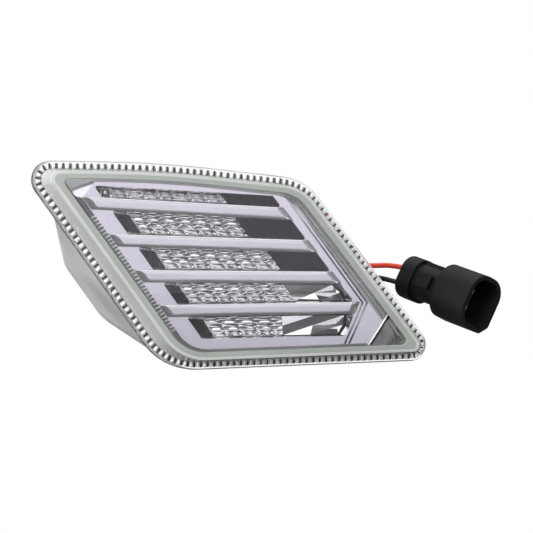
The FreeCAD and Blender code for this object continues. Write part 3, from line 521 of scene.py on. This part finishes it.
def relief_sheet(corners: Corners, base: float, sink: float, counts: tuple[int, int],
                 rise: Callable[[float, float], float]) -> tuple[list[Point], list[Face]]:
    """Closed sheet over a four-cornered field, with a relief on its front and a flat back.

    Args:
        corners: The field's corners.
        base: Depth of the field.
        sink: How far the back lies behind it.
        counts: Steps along and up.
        rise: Height of the relief at a share along and up.

    Returns:
        Points and faces.
    """
    wide, high = counts
    points: list[Point] = []
    for depth_of in (lambda along, up: base - rise(along, up), lambda along, up: base + sink):
        for j in range(high + 1):
            for i in range(wide + 1):
                x, z = blend_corners(corners, i / wide, j / high)
                points.append((x, depth_of(i / wide, j / high), z))
    row, back = wide + 1, (wide + 1) * (high + 1)
    faces: list[Face] = []
    for j in range(high):
        for i in range(wide):
            a = j * row + i
            faces.append((a, a + 1, a + row + 1, a + row))
            faces.append((back + a + row, back + a + row + 1, back + a + 1, back + a))
    edge = (list(range(wide)) + [j * row + wide for j in range(high)]
            + [high * row + i for i in range(wide, 0, -1)] + [j * row for j in range(high, 0, -1)])
    for here, after in zip(edge, edge[1:] + edge[:1]):
        faces.append((after, here, back + here, back + after))
    return points, faces


@dataclass(frozen=True)
class FaceLine:
    """One thin raised line on the bezel's face, by its points across and up."""

    name: str
    finish: Finish
    width: float
    run: tuple[Flat, ...]
    rise: float = 0.25 * MM


FACE_LINES = (
    FaceLine("window_line_1", LINE_PLATING, 0.7 * MM,
             ((0.0176, 0.0232), (0.0454, -0.0122), (0.0388, -0.026))),
    FaceLine("window_line_2", LINE_PLATING, 0.7 * MM,
             ((0.0193, 0.0230), (0.0470, -0.0122), (0.0404, -0.026))),
    # A white line paints the highlight along the facet's edge, with a line of painted shadow beside it.
    FaceLine("facet_painted_highlight", PAINTED_HIGHLIGHT, 0.5 * MM, ((0.05506, -0.01578), (0.04763, -0.0264))),
    FaceLine("facet_shadow", PAINTED_SHADE_PLATING, 0.8 * MM, ((0.05556, -0.01612), (0.04837, -0.0264))),
)


@dataclass
class BrightFace:
    """Slat fronts, lines and ribs on the bezel, and pillows, facets and plates in the reflector; the plates,
    some facets and lines and the bevel's strip and ribs carry painted shade or highlight.
    """

    shop: FinishShop
    layout: FaceLayout = field(default_factory=FaceLayout)
    slat_crown: float = 0.16 * MM
    slat_power: int = 6
    slat_steps: tuple[int, int] = (24, 12)
    slat_reach: float = 5.2 * MM
    slat_overlap: float = 0.4 * MM
    sink: float = 0.4 * MM
    pillow_width: float = 5.5 * MM
    pillow_rise: float = 0.75 * MM
    pillow_steps: int = 6
    peak_across: Flat = (0.36, 0.64)
    peak_over: Flat = (0.4, 0.6)
    peak_height: Flat = (0.55, 1.0)
    tiers: tuple[int, ...] = (2, 3, 3, 3, 3)
    facet_start: tuple[float, ...] = (0.72, 0.70, 0.74, 0.68, 0.56)
    facet_end: float = 0.99
    facet_sides: Flat = (0.02, 0.98)
    facet_rise: float = 3.4 * MM
    # Rows whose end facets are near-black plating that paints a dark reflection, and their steps.
    painted_shade_rows: int = 3
    painted_shade_steps: tuple[int, int] = (1, 1)
    leaf_steps: tuple[int, int] = (2, 2)
    leaf_fall: float = 0.6
    first_ramp: int = 1
    ramp_steps: tuple[int, int] = (4, 4)
    plate_proud: float = 0.08 * MM
    line_power: int = 2
    line_steps: tuple[int, int] = (6, 2)
    rib_span: Flat = (-42.0 * MM, 5.0 * MM)
    rib_pitch: float = 1.3 * MM
    rib_offset: float = 0.25
    rib_share: float = 0.5
    rib_steps: tuple[int, int] = (2, 1)
    rib_rise: float = 0.12 * MM
    seed: int = 7

    def build(self) -> None:
        """Make every piece of the bright face."""
        for slat in range(self.layout.slats):
            self.build_slat(slat)
        draw = random.Random(self.seed)
        for row in range(self.layout.slats + 1):
            self.build_pillows(row, draw)
            self.build_facet(row)
            if row >= self.first_ramp:
                self.build_ramp(row)
        for line in FACE_LINES:
            self.build_line(line)
        # A near-black strip paints the bevel's shade, and white ribs over it paint its highlights.
        low, high = self.rib_span
        self.build_ribs("bevel_painted_shade", ((low, high),), 0.0, PAINTED_SHADE_PLATING)
        count = int((high - low) / self.rib_pitch)
        starts = [low + (rib + self.rib_offset) * self.rib_pitch for rib in range(count)]
        spans = tuple((start, start + self.rib_pitch * self.rib_share) for start in starts)
        self.build_ribs("bevel_painted_highlights", spans, self.rib_rise, PAINTED_HIGHLIGHT)

    def build_ribs(self, name: str, spans: tuple[Flat, ...], rise: float, finish: Finish) -> None:
        """Make a strip of painted shade, or short ribs of painted highlight, on the bezel's left bevel.

        Args:
            name: Name of the piece.
            spans: Begin and end of each rib along the edge.
            rise: How far the ribs stand over the strip.
            finish: Their finish.
        """
        lines = self.layout
        outward = Vector((math.sin(lines.left_heading), -math.cos(lines.left_heading)))
        along = Vector((math.cos(lines.left_heading), math.sin(lines.left_heading)))
        outer, inner = outward * lines.bevel_edge, outward * (lines.bevel_edge - lines.bevel_width)
        points: list[Point] = []
        faces: list[Face] = []
        for begin, end in spans:
            corners = tuple(tuple(place) for place in (outer + along * end, inner + along * end,
                                                       inner + along * begin, outer + along * begin))
            rib = relief_sheet(corners, lines.bezel_front + lines.bevel_depth, self.sink, self.rib_steps,
                               lambda share, up: self.plate_proud + rise + lines.bevel_depth * share)
            gather(points, faces, rib)
        add_piece(name, points, faces, self.shop.material(finish), Shading.FLAT)

    def build_ramp(self, row: int) -> None:
        """Make the plate of painted shade, a near-black mirror for the dark reflection, on the left ramp of
        one trough.

        Args:
            row: Number of the row, from the top.
        """
        lines = self.layout
        low_left, _, _, high_left = lines.row_corners(row)
        below, above = min(row, lines.slats - 1), max(row - 1, 0)
        mouth = (lines.left_heading, lines.window_left)
        corners = (lines.corner(below, low_left[1], *mouth), low_left, high_left,
                   lines.corner(above, high_left[1], *mouth))
        points, faces = relief_sheet(corners, lines.trough_floor, self.sink, self.ramp_steps,
                                     lambda along, up: self.plate_proud + lines.trough_depth * (1.0 - along))
        # The plate is painted shade: near-black plating where the ramp shows a dark reflection.
        add_piece(f"ramp_painted_shade_{row + 1}", points, faces, self.shop.material(PAINTED_SHADE_PLATING),
                  Shading.FLAT)

    def build_line(self, line: FaceLine) -> None:
        """Make one raised line on the bezel's face.

        Args:
            line: The line to make.
        """
        points: list[Point] = []
        faces: list[Face] = []
        for begin, end in zip(line.run, line.run[1:]):
            along = Vector((end[0] - begin[0], end[1] - begin[1])).normalized()
            side = Vector((-along.y, along.x)) * line.width / 2.0
            corners = ((begin[0] + side.x, begin[1] + side.y), (begin[0] - side.x, begin[1] - side.y),
                       (end[0] - side.x, end[1] - side.y), (end[0] + side.x, end[1] + side.y))
            bar = relief_sheet(corners, self.layout.bezel_front, self.sink, self.line_steps,
                               lambda across, up: line.rise * crown(across, self.line_power))
            gather(points, faces, bar)
        add_piece(line.name, points, faces, self.shop.material(line.finish), Shading.SMOOTH)

    def build_slat(self, slat: int) -> None:
        """Make one slat's crowned front.

        Args:
            slat: Number of the slat, from the top.
        """
        lines = self.layout
        middle, half = lines.slat_middle(slat), lines.slat_height / 2.0
        left = (lines.left_heading, lines.window_left + self.slat_reach)
        right = (lines.right_heading, lines.window_right + self.slat_overlap)
        if slat == lines.slats - 1:
            right = (lines.end_heading, lines.window_end + self.slat_overlap)
        corners = (lines.corner(slat, middle - half, *left), lines.corner(slat, middle - half, *right),
                   lines.corner(slat, middle + half, *right), lines.corner(slat, middle + half, *left))
        points, faces = relief_sheet(corners, lines.bezel_front, self.sink, self.slat_steps,
                                     lambda along, up: self.slat_crown * crown(up, self.slat_power))
        add_piece(f"slat_front_{slat + 1}", points, faces, self.shop.material(SLAT_PLATING),
                  Shading.SMOOTH)

    def build_pillows(self, row: int, draw: random.Random) -> None:
        """Make the pillows of one trough.

        Args:
            row: Number of the row, from the top.
            draw: Source of the pillows' small differences.
        """
        corners = self.layout.row_corners(row)
        length = corners[1][0] - corners[0][0]
        columns = round(length / self.pillow_width)
        tiers = self.tiers[row]
        ranges = (self.peak_across, self.peak_over, self.peak_height)
        peaks = {(i, j): tuple(draw.uniform(*limits) for limits in ranges)
                 for i in range(columns) for j in range(tiers)}

        def swell(share: float, peak: float) -> float:
            """Rounded bump from 0 to 1 with its top at the peak."""
            side = share / peak if share < peak else (1.0 - share) / (1.0 - peak)
            return 1.0 - (1.0 - side) ** 2

        def rise(along: float, up: float) -> float:
            """Height of the pillow at a share along and up."""
            i, j = min(int(along * columns), columns - 1), min(int(up * tiers), tiers - 1)
            across, over, high = peaks[i, j]
            return self.pillow_rise * high * swell(along * columns - i, across) * swell(up * tiers - j, over)

        points, faces = relief_sheet(corners, self.layout.trough_floor, self.sink,
                                     (columns * self.pillow_steps, tiers * self.pillow_steps), rise)
        add_piece(f"pillow_row_{row + 1}", points, faces, self.shop.material(REFLECTOR_PLATING),
                  Shading.SMOOTH)

    def build_facet(self, row: int) -> None:
        """Make the mirror facets at the right end of one trough, near-black in the upper rows to paint their
        dark reflection.

        Args:
            row: Number of the row, from the top.
        """
        corners = self.layout.row_corners(row)
        begin, end = self.facet_start[row], self.facet_end
        low, high = self.facet_sides
        field_corners = tuple(blend_corners(corners, along, up)
                              for along, up in ((begin, low), (end, low), (end, high), (begin, high)))

        def slope(along: float, up: float) -> float:
            """Flat ramp in the rows of painted dark reflection, a leaf with a ridge along its middle in the
            others.
            """
            if row < self.painted_shade_rows:
                return self.pillow_rise + self.facet_rise * along
            return self.pillow_rise + self.facet_rise * along * (1.0 - self.leaf_fall * abs(2.0 * up - 1.0))

        steps = self.painted_shade_steps if row < self.painted_shade_rows else self.leaf_steps
        points, faces = relief_sheet(field_corners, self.layout.trough_floor, self.sink, steps, slope)
        # The upper rows' facets are painted shade: near-black plating for a dark reflection.
        plating = PAINTED_SHADE_PLATING if row < self.painted_shade_rows else REFLECTOR_PLATING
        add_piece(f"end_facet_{row + 1}", points, faces, self.shop.material(plating),
                  Shading.FLAT)


@dataclass
class RimTeeth:
    """Rounded tooth fronts on the lens rim, and painted shade in the bottoms of the grooves that the solid
    has.
    """

    shop: FinishShop
    lens: bpy.types.Object
    rim_front: float = -46.0 * MM
    groove_depth: float = 0.9 * MM
    groove_half: float = 0.62 * MM
    near: float = 0.06 * MM
    same_place: float = 0.5 * MM
    rise: float = 0.32 * MM
    sink: float = 0.25 * MM
    shade_half: float = 0.36 * MM
    shade_rise: float = 0.3 * MM
    shade_steps: tuple[int, int] = (2, 2)
    tooth_steps: tuple[int, int] = (4, 4)
    tooth_power: int = 4
    longest_tooth: float = 4.96 * MM

    def grooves(self) -> list[tuple[Vector, Vector]]:
        """Find the outer and inner end of each groove's bottom, in order round the rim.

        Returns:
            One pair of points for each groove.
        """
        bottom = self.rim_front + self.groove_depth
        mesh = self.lens.data
        found: dict[tuple[int, int], tuple[Vector, Vector]] = {}
        for edge in mesh.edges:
            ends = [mesh.vertices[index].co.copy() for index in edge.vertices]
            level = all(abs(end.y - bottom) < self.near for end in ends)
            if level and (ends[0] - ends[1]).length > self.groove_half:
                ends.sort(key=lambda end: end.length, reverse=True)
                middle = (ends[0] + ends[1]) / (2.0 * self.same_place)
                found[round(middle.x), round(middle.z)] = (ends[0], ends[1])
        return self.in_order(list(found.values()))

    def in_order(self, found: list[tuple[Vector, Vector]]) -> list[tuple[Vector, Vector]]:
        """Walk from each groove to the nearest one that is left.

        Args:
            found: The grooves in any order.

        Returns:
            The grooves in order round the rim, against the clock seen from the front.
        """
        walk = [found.pop()]
        while found:
            nearest = min(found, key=lambda groove: (groove[0] - walk[-1][0]).length)
            found.remove(nearest)
            walk.append(nearest)
        outer = [groove[0] for groove in walk]
        pairs = zip(outer, outer[1:] + outer[:1])
        swept = sum(here.x * after.z - after.x * here.z for here, after in pairs)
        return walk if swept > 0.0 else walk[::-1]

    def build(self) -> None:
        """Make all the tooth fronts as one piece."""
        grooves = self.grooves()
        points: list[Point] = []
        faces: list[Face] = []
        for here, after in zip(grooves, grooves[1:] + grooves[:1]):
            along = (after[0] - here[0]).normalized()
            if (after[0] - here[0]).length > self.longest_tooth:
                continue
            step = along * self.groove_half
            corners = [here[0] + step, after[0] - step, after[1] - step, here[1] + step]
            flat = tuple((corner.x, corner.z) for corner in corners)
            gather(points, faces, relief_sheet(flat, self.rim_front, self.sink, self.tooth_steps, self.swell))
        LOG.info("found %d grooves", len(grooves))
        self.build_shades(grooves)
        add_piece("rim_teeth", points, faces, self.shop.material(TOOTH_PLASTIC), Shading.SMOOTH)

    def build_shades(self, grooves: list[tuple[Vector, Vector]]) -> None:
        """Make the lines of painted shade in the bottoms of the grooves as one piece.

        Args:
            grooves: Outer and inner end of each groove.
        """
        points: list[Point] = []
        faces: list[Face] = []
        for outer, inner in grooves:
            along = (inner - outer).normalized()
            side = Vector((-along.z, 0.0, along.x)) * self.shade_half
            corners = [outer - side, inner - side, inner + side, outer + side]
            flat = tuple((corner.x, corner.z) for corner in corners)
            line = relief_sheet(flat, self.rim_front + self.groove_depth, self.sink, self.shade_steps,
                                lambda share, up: self.shade_rise)
            gather(points, faces, line)
        add_piece("rim_groove_painted_shade", points, faces, self.shop.material(GROOVE_SHADE), Shading.FLAT)

    def swell(self, along: float, up: float) -> float:
        """Height of a tooth's rounded front at a share along and up."""
        return self.rise * crown(along, self.tooth_power) * crown(up, self.tooth_power)


@dataclass(frozen=True)
class RimEdge:
    """One edge of the rim's outline and the corner after it."""

    heading: float
    distance: float
    radius: float
    slanted: bool


RIM = (
    RimEdge(129.6, 38.9 * MM, 20.0 * MM, True),
    RimEdge(174.8, 31.7 * MM, 400.0 * MM, False),
    RimEdge(180.0, 34.1 * MM, 6.2 * MM, False),
    RimEdge(-53.7, 38.8 * MM, 22.0 * MM, True),
    RimEdge(1.3, 33.8 * MM, 5.7 * MM, False),
)


def inner_outline(side: float, level: float, least: float = 1.5 * MM, arc_steps: int = 10,
                  run_steps: int = 12) -> list[Flat]:
    """Rim outline drawn in by one distance on slanted edges and another on the level ones.

    Args:
        side: Distance for the slanted edges.
        level: Distance for top and bottom.
        least: Smallest corner radius.
        arc_steps: Points on each corner.
        run_steps: Points on each straight run.

    Returns:
        Points in order, as many for any distances.
    """
    insets = [side if edge.slanted else level for edge in RIM]
    tangents: list[tuple[Vector, Vector, Vector, float]] = []
    for index, edge in enumerate(RIM):
        after = (index + 1) % len(RIM)
        first, second = math.radians(edge.heading), math.radians(RIM[after].heading)
        near, far = edge.distance - insets[index], RIM[after].distance - insets[after]
        turn = (second - first) % (2.0 * math.pi)
        normal, other = (math.sin(first), -math.cos(first)), (math.sin(second), -math.cos(second))
        scale = normal[0] * other[1] - normal[1] * other[0]
        corner = Vector(((near * other[1] - far * normal[1]) / scale,
                         (far * normal[0] - near * other[0]) / scale))
        radius = max(edge.radius - insets[index], least)
        trim = radius * math.tan(turn / 2.0)
        start = corner - Vector((math.cos(first), math.sin(first))) * trim
        centre = start - Vector(normal) * radius
        tangents.append((start, centre, Vector((first, turn)), radius))
    path: list[Flat] = []
    for index, (start, centre, angles, radius) in enumerate(tangents):
        for step in range(arc_steps):
            angle = angles[0] - math.pi / 2.0 + angles[1] * step / arc_steps
            path.append((centre.x + radius * math.cos(angle), centre.y + radius * math.sin(angle)))
        final = angles[0] + angles[1] - math.pi / 2.0
        leave = centre + Vector((math.cos(final), math.sin(final))) * radius
        arrive = tangents[(index + 1) % len(tangents)][0]
        path.extend(tuple(leave.lerp(arrive, step / run_steps)) for step in range(run_steps))
    return path


@dataclass
class ClearBorder:
    """Satin border of the lens: its pale side wall and the greyer edge of its front."""

    shop: FinishShop
    front: float = -53.2 * MM
    foot: float = -46.05 * MM
    crown: float = 1100.0 * MM
    proud: float = 0.012 * MM
    thickness: float = 0.2 * MM
    wall_foot: Flat = (2.67 * MM, 2.67 * MM)
    wall_top: Flat = (4.57 * MM, 3.47 * MM)
    change: Flat = (5.6 * MM, 4.4 * MM)
    inner: Flat = (7.4 * MM, 5.8 * MM)

    def ring(self, inset: Flat, lift: float) -> list[Point]:
        """One line round the border.

        Args:
            inset: Distance from the rim on slanted and level edges.
            lift: How far the line lies inside the lens.

        Returns:
            The line's points.
        """
        points = []
        for x, z in inner_outline(inset[0] + lift, inset[1] + lift):
            front = self.front + (x * x + z * z) / (2.0 * self.crown) - self.proud + lift
            points.append((x, self.foot if inset is self.wall_foot else front, z))
        return points

    def build(self) -> None:
        """Make the pale wall and the greyer band."""
        self.build_band("wall_border", (self.wall_foot, self.wall_top, self.change), WALL_PLASTIC)
        self.build_band("satin_band", (self.change, self.inner), BAND_PLASTIC)

    def build_band(self, name: str, insets: tuple[Flat, ...], finish: Finish) -> None:
        """Make one closed ring.

        Args:
            name: Name of the ring.
            insets: Its lines, from the outside in.
            finish: Its finish.
        """
        rings = [self.ring(inset, 0.0) for inset in insets]
        rings += [self.ring(inset, self.thickness) for inset in reversed(insets)]
        count = len(rings[0])
        points = [point for ring in rings for point in ring]
        faces = []
        for ring in range(len(rings)):
            base, after = ring * count, ((ring + 1) % len(rings)) * count
            for i in range(count):
                j = (i + 1) % count
                faces.append((base + i, base + j, after + j, after + i))
        add_piece(name, points, faces, self.shop.material(finish), Shading.FLAT)


@dataclass
class Wire:
    """One insulated wire on the route that the solids follow."""

    name: str
    node: str
    finish: Finish
    route: tuple[Point, ...]
    length: float
    with_pieces: tuple[str, ...]
    diameter: float = 1.8 * MM
    round_steps: int = 6
    run_steps: int = 24
    order: int = 3

    def build(self, shop: FinishShop, nodes: dict[str, bpy.types.Object]) -> None:
        """Args:
            shop: Maker of materials.
            nodes: The carried-over pieces; not used.
        """
        curve = bpy.data.curves.new(self.name, "CURVE")
        curve.dimensions = "3D"
        curve.bevel_depth = self.diameter / 2.0
        curve.bevel_resolution = self.round_steps
        curve.resolution_u = self.run_steps
        curve.use_fill_caps = True
        spline = curve.splines.new("NURBS")
        spline.points.add(len(self.route) - 1)
        for point, place in zip(spline.points, self.route):
            point.co = (*place, 1.0)
        spline.order_u = self.order
        spline.use_endpoint_u = True
        wire = bpy.data.objects.new(self.name, curve)
        bpy.context.scene.collection.objects.link(wire)
        curve.materials.append(shop.material(self.finish))
        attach(wire, BODY)
        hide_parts(self.node)
        LOG.info("laid %s", self.name)


RED_WIRE = Wire(
    "red_lead", "red_wire", RED_SLEEVE,
    ((0.034, -0.0353, 0.0002), (0.034, -0.023, 0.0002), (0.041, -0.011, 0.0002), (0.0635, -0.011, 0.0002),
     (0.07866, -0.0055, 0.0006), (0.08408, -0.02001, -0.00339)),
    0.0762, ("connector_shell", "terminal_lock", "positive_pin", "red_wire_seal"))
BLACK_WIRE = Wire(
    "black_lead", "black_wire", BLACK_SLEEVE,
    ((0.030, -0.0353, -0.0032), (0.030, -0.023, -0.0032), (0.039, -0.011, -0.0032), (0.0623, -0.011, -0.0032),
     (0.07649, -0.00553, -0.00504), (0.08168, -0.01941, -0.00885)),
    0.0768, ("negative_pin", "black_wire_seal"))


@dataclass(frozen=True)
class Glow:
    """One soft patch of the room around the lamp, seen only in reflections and as light."""

    towards: Point
    inner: float
    outer: float
    colour: Colour


ROOM = (
    Glow((0.0, 0.0, 1.0), 25.0, 60.0, (1.2, 1.2, 1.2)),
    Glow((0.16, -0.98, 0.0), 14.0, 25.0, (0.94, 0.90, 1.0)),
    Glow((-0.47, -0.63, 0.62), 12.0, 30.0, (1.3, 1.3, 1.3)),
    Glow((-0.95, -0.3, 0.05), 18.0, 40.0, (1.6, 1.6, 1.6)),
    Glow((0.34, -0.75, 0.56), 8.0, 14.0, (1.9, 1.9, 1.9)),
    Glow((0.78, -0.62, 0.1), 6.0, 12.0, (1.7, 1.7, 1.7)),
    Glow((0.1, -0.93, -0.35), 7.0, 12.0, (1.5, 1.5, 1.5)),
    Glow((-0.3, -0.85, -0.42), 8.0, 14.0, (0.015, 0.015, 0.018)),
    Glow((0.6, -0.75, -0.28), 6.0, 11.0, (0.015, 0.015, 0.018)),
    Glow((-0.12, -0.9, 0.42), 5.0, 10.0, (0.02, 0.02, 0.024)),
    Glow((0.849, 0.323, 0.419), 12.0, 24.0, (1.0, 1.0, 1.0)),
    Glow((0.342, 0.263, 0.902), 5.0, 9.0, (0.02, 0.02, 0.02)),
)


@dataclass(frozen=True)
class SoftBox:
    """One square area light, which lights the lamp but isn't mirrored in it."""

    name: str
    place: Point
    aim: Point
    size: float
    power: float


SOFT_BOXES = (
    SoftBox("key_light", (-0.75, -0.55, 0.35), (0.0, -0.04, 0.0), 0.6, 10.0),
    SoftBox("low_light", (-0.6, -0.3, -0.05), (0.0, -0.04, 0.0), 0.4, 6.5),
    SoftBox("front_light", (0.25, -0.8, 0.35), (0.0, -0.04, 0.0), 0.5, 3.5),
    SoftBox("back_light", (0.5, 0.7, 0.5), (0.0, -0.03, 0.0), 0.6, 8.0),
)


@dataclass
class Studio:
    """Pale floor, soft room light for the plating to mirror, and the camera."""

    target: Point = (0.0124, -0.046, 0.0)
    distance: float = 0.7
    azimuth: float = math.radians(-20.0)
    lens: float = 141.8
    sensor: float = 36.0
    floor_drop: float = 0.06
    floor_size: float = 6.0
    floor_shade: Colour = (0.04, 0.04, 0.04)
    floor_roughness: float = 0.9
    backdrop: Colour = (1.0, 1.0, 1.0)
    dim: Colour = (0.16, 0.16, 0.166)
    half_bounce: float = 0.5

    def build(self, low: Vector) -> None:
        """Set up the whole studio.

        Args:
            low: Lowest corner of the object.
        """
        bpy.context.scene.view_settings.view_transform = "Standard"
        self.place_camera()
        self.light_world()
        self.place_lights()
        self.lay_floor(low.z - self.floor_drop)

    def place_camera(self) -> None:
        """Stand the camera at the photograph's angle."""
        data = bpy.data.cameras.new("camera")
        data.lens = self.lens
        data.sensor_width = self.sensor
        camera = bpy.data.objects.new("camera", data)
        back = Vector((math.sin(self.azimuth), -math.cos(self.azimuth), 0.0))
        camera.location = Vector(self.target) + back * self.distance
        camera.rotation_euler = (-back).to_track_quat("-Z", "Y").to_euler()
        bpy.context.scene.collection.objects.link(camera)
        bpy.context.scene.camera = camera

    def light_world(self) -> None:
        """Show plain white behind the lamp and light it with a dim room of bright patches."""
        world = bpy.data.worlds.new("white_room")
        world.use_nodes = True
        nodes, links = world.node_tree.nodes, world.node_tree.links
        room = nodes["Background"]
        backdrop = nodes.new("ShaderNodeBackground")
        backdrop.inputs["Color"].default_value = (*self.backdrop, 1.0)
        place = nodes.new("ShaderNodeTexCoord")
        colour = None
        for glow in ROOM:
            dot = nodes.new("ShaderNodeVectorMath")
            dot.operation = "DOT_PRODUCT"
            dot.inputs[1].default_value = Vector(glow.towards).normalized()
            links.new(place.outputs["Generated"], dot.inputs[0])
            spread = nodes.new("ShaderNodeMapRange")
            spread.interpolation_type = "SMOOTHSTEP"
            spread.inputs["From Min"].default_value = math.cos(math.radians(glow.outer))
            spread.inputs["From Max"].default_value = math.cos(math.radians(glow.inner))
            links.new(dot.outputs["Value"], spread.inputs["Value"])
            mix = nodes.new("ShaderNodeMix")
            mix.data_type = "RGBA"
            mix.inputs["A"].default_value = (*self.dim, 1.0)
            mix.inputs["B"].default_value = (*glow.colour, 1.0)
            links.new(spread.outputs["Result"], mix.inputs["Factor"])
            if colour is not None:
                links.new(colour, mix.inputs["A"])
            colour = mix.outputs["Result"]
        links.new(colour, room.inputs["Color"])
        choose = nodes.new("ShaderNodeMixShader")
        links.new(self.straight_view(world.node_tree), choose.inputs["Fac"])
        links.new(room.outputs["Background"], choose.inputs[1])
        links.new(backdrop.outputs["Background"], choose.inputs[2])
        links.new(choose.outputs["Shader"], nodes["World Output"].inputs["Surface"])
        bpy.context.scene.world = world

    def straight_view(self, tree: bpy.types.NodeTree) -> bpy.types.NodeSocket:
        """Add nodes that tell what is seen directly, or through clear plastic, from what is mirrored.

        Args:
            tree: Where to add them.

        Returns:
            A socket that is 1 for the direct view and 0 for reflections and light.
        """
        path = tree.nodes.new("ShaderNodeLightPath")
        bounces = math_node(tree, "ADD", path.outputs["Glossy Depth"], path.outputs["Diffuse Depth"])
        return math_node(tree, "LESS_THAN", bounces.outputs[0], self.half_bounce).outputs[0]

    def place_lights(self) -> None:
        """Hang the soft boxes round the lamp."""
        for box in SOFT_BOXES:
            data = bpy.data.lights.new(box.name, "AREA")
            data.size = box.size
            data.energy = box.power
            light = bpy.data.objects.new(box.name, data)
            light.location = box.place
            light.visible_glossy = False
            light.visible_transmission = False
            light.rotation_euler = (Vector(box.aim) - Vector(box.place)).to_track_quat("-Z", "Y").to_euler()
            bpy.context.scene.collection.objects.link(light)

    def lay_floor(self, height: float) -> None:
        """Lay the pale floor, which is as bright as the white behind it.

        Args:
            height: Height of the floor.
        """
        half = self.floor_size / 2.0
        mesh = bpy.data.meshes.new("floor")
        mesh.from_pydata([(-half, -half, height), (half, -half, height), (half, half, height),
                          (-half, half, height)], [], [(0, 1, 2, 3)])
        floor = bpy.data.objects.new("floor", mesh)
        bpy.context.scene.collection.objects.link(floor)
        material = bpy.data.materials.new("pale_floor")
        material.use_nodes = True
        nodes, links = material.node_tree.nodes, material.node_tree.links
        shader = nodes["Principled BSDF"]
        shader.inputs["Base Color"].default_value = (*self.floor_shade, 1.0)
        shader.inputs["Roughness"].default_value = self.floor_roughness
        white = nodes.new("ShaderNodeEmission")
        choose = nodes.new("ShaderNodeMixShader")
        links.new(self.straight_view(material.node_tree), choose.inputs["Fac"])
        links.new(shader.outputs["BSDF"], choose.inputs[1])
        links.new(white.outputs["Emission"], choose.inputs[2])
        links.new(choose.outputs["Shader"], nodes["Material Output"].inputs["Surface"])
        mesh.materials.append(material)
        floor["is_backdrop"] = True


def main() -> None:
    """Load the solids, dress them, lay the wires and set up the studio."""
    logging.basicConfig(level=logging.INFO)
    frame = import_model()
    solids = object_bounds()
    shop = FinishShop()
    LampBody(shop, frame["nodes"]).dress()
    BrightFace(shop).build()
    RimTeeth(shop, frame["nodes"]["lens"]).build()
    ClearBorder(shop).build()
    for wire in (RED_WIRE, BLACK_WIRE):
        wire.build(shop, frame["nodes"])
    Studio().build(Vector(solids[0]))


if __name__ == "__main__":
    main()
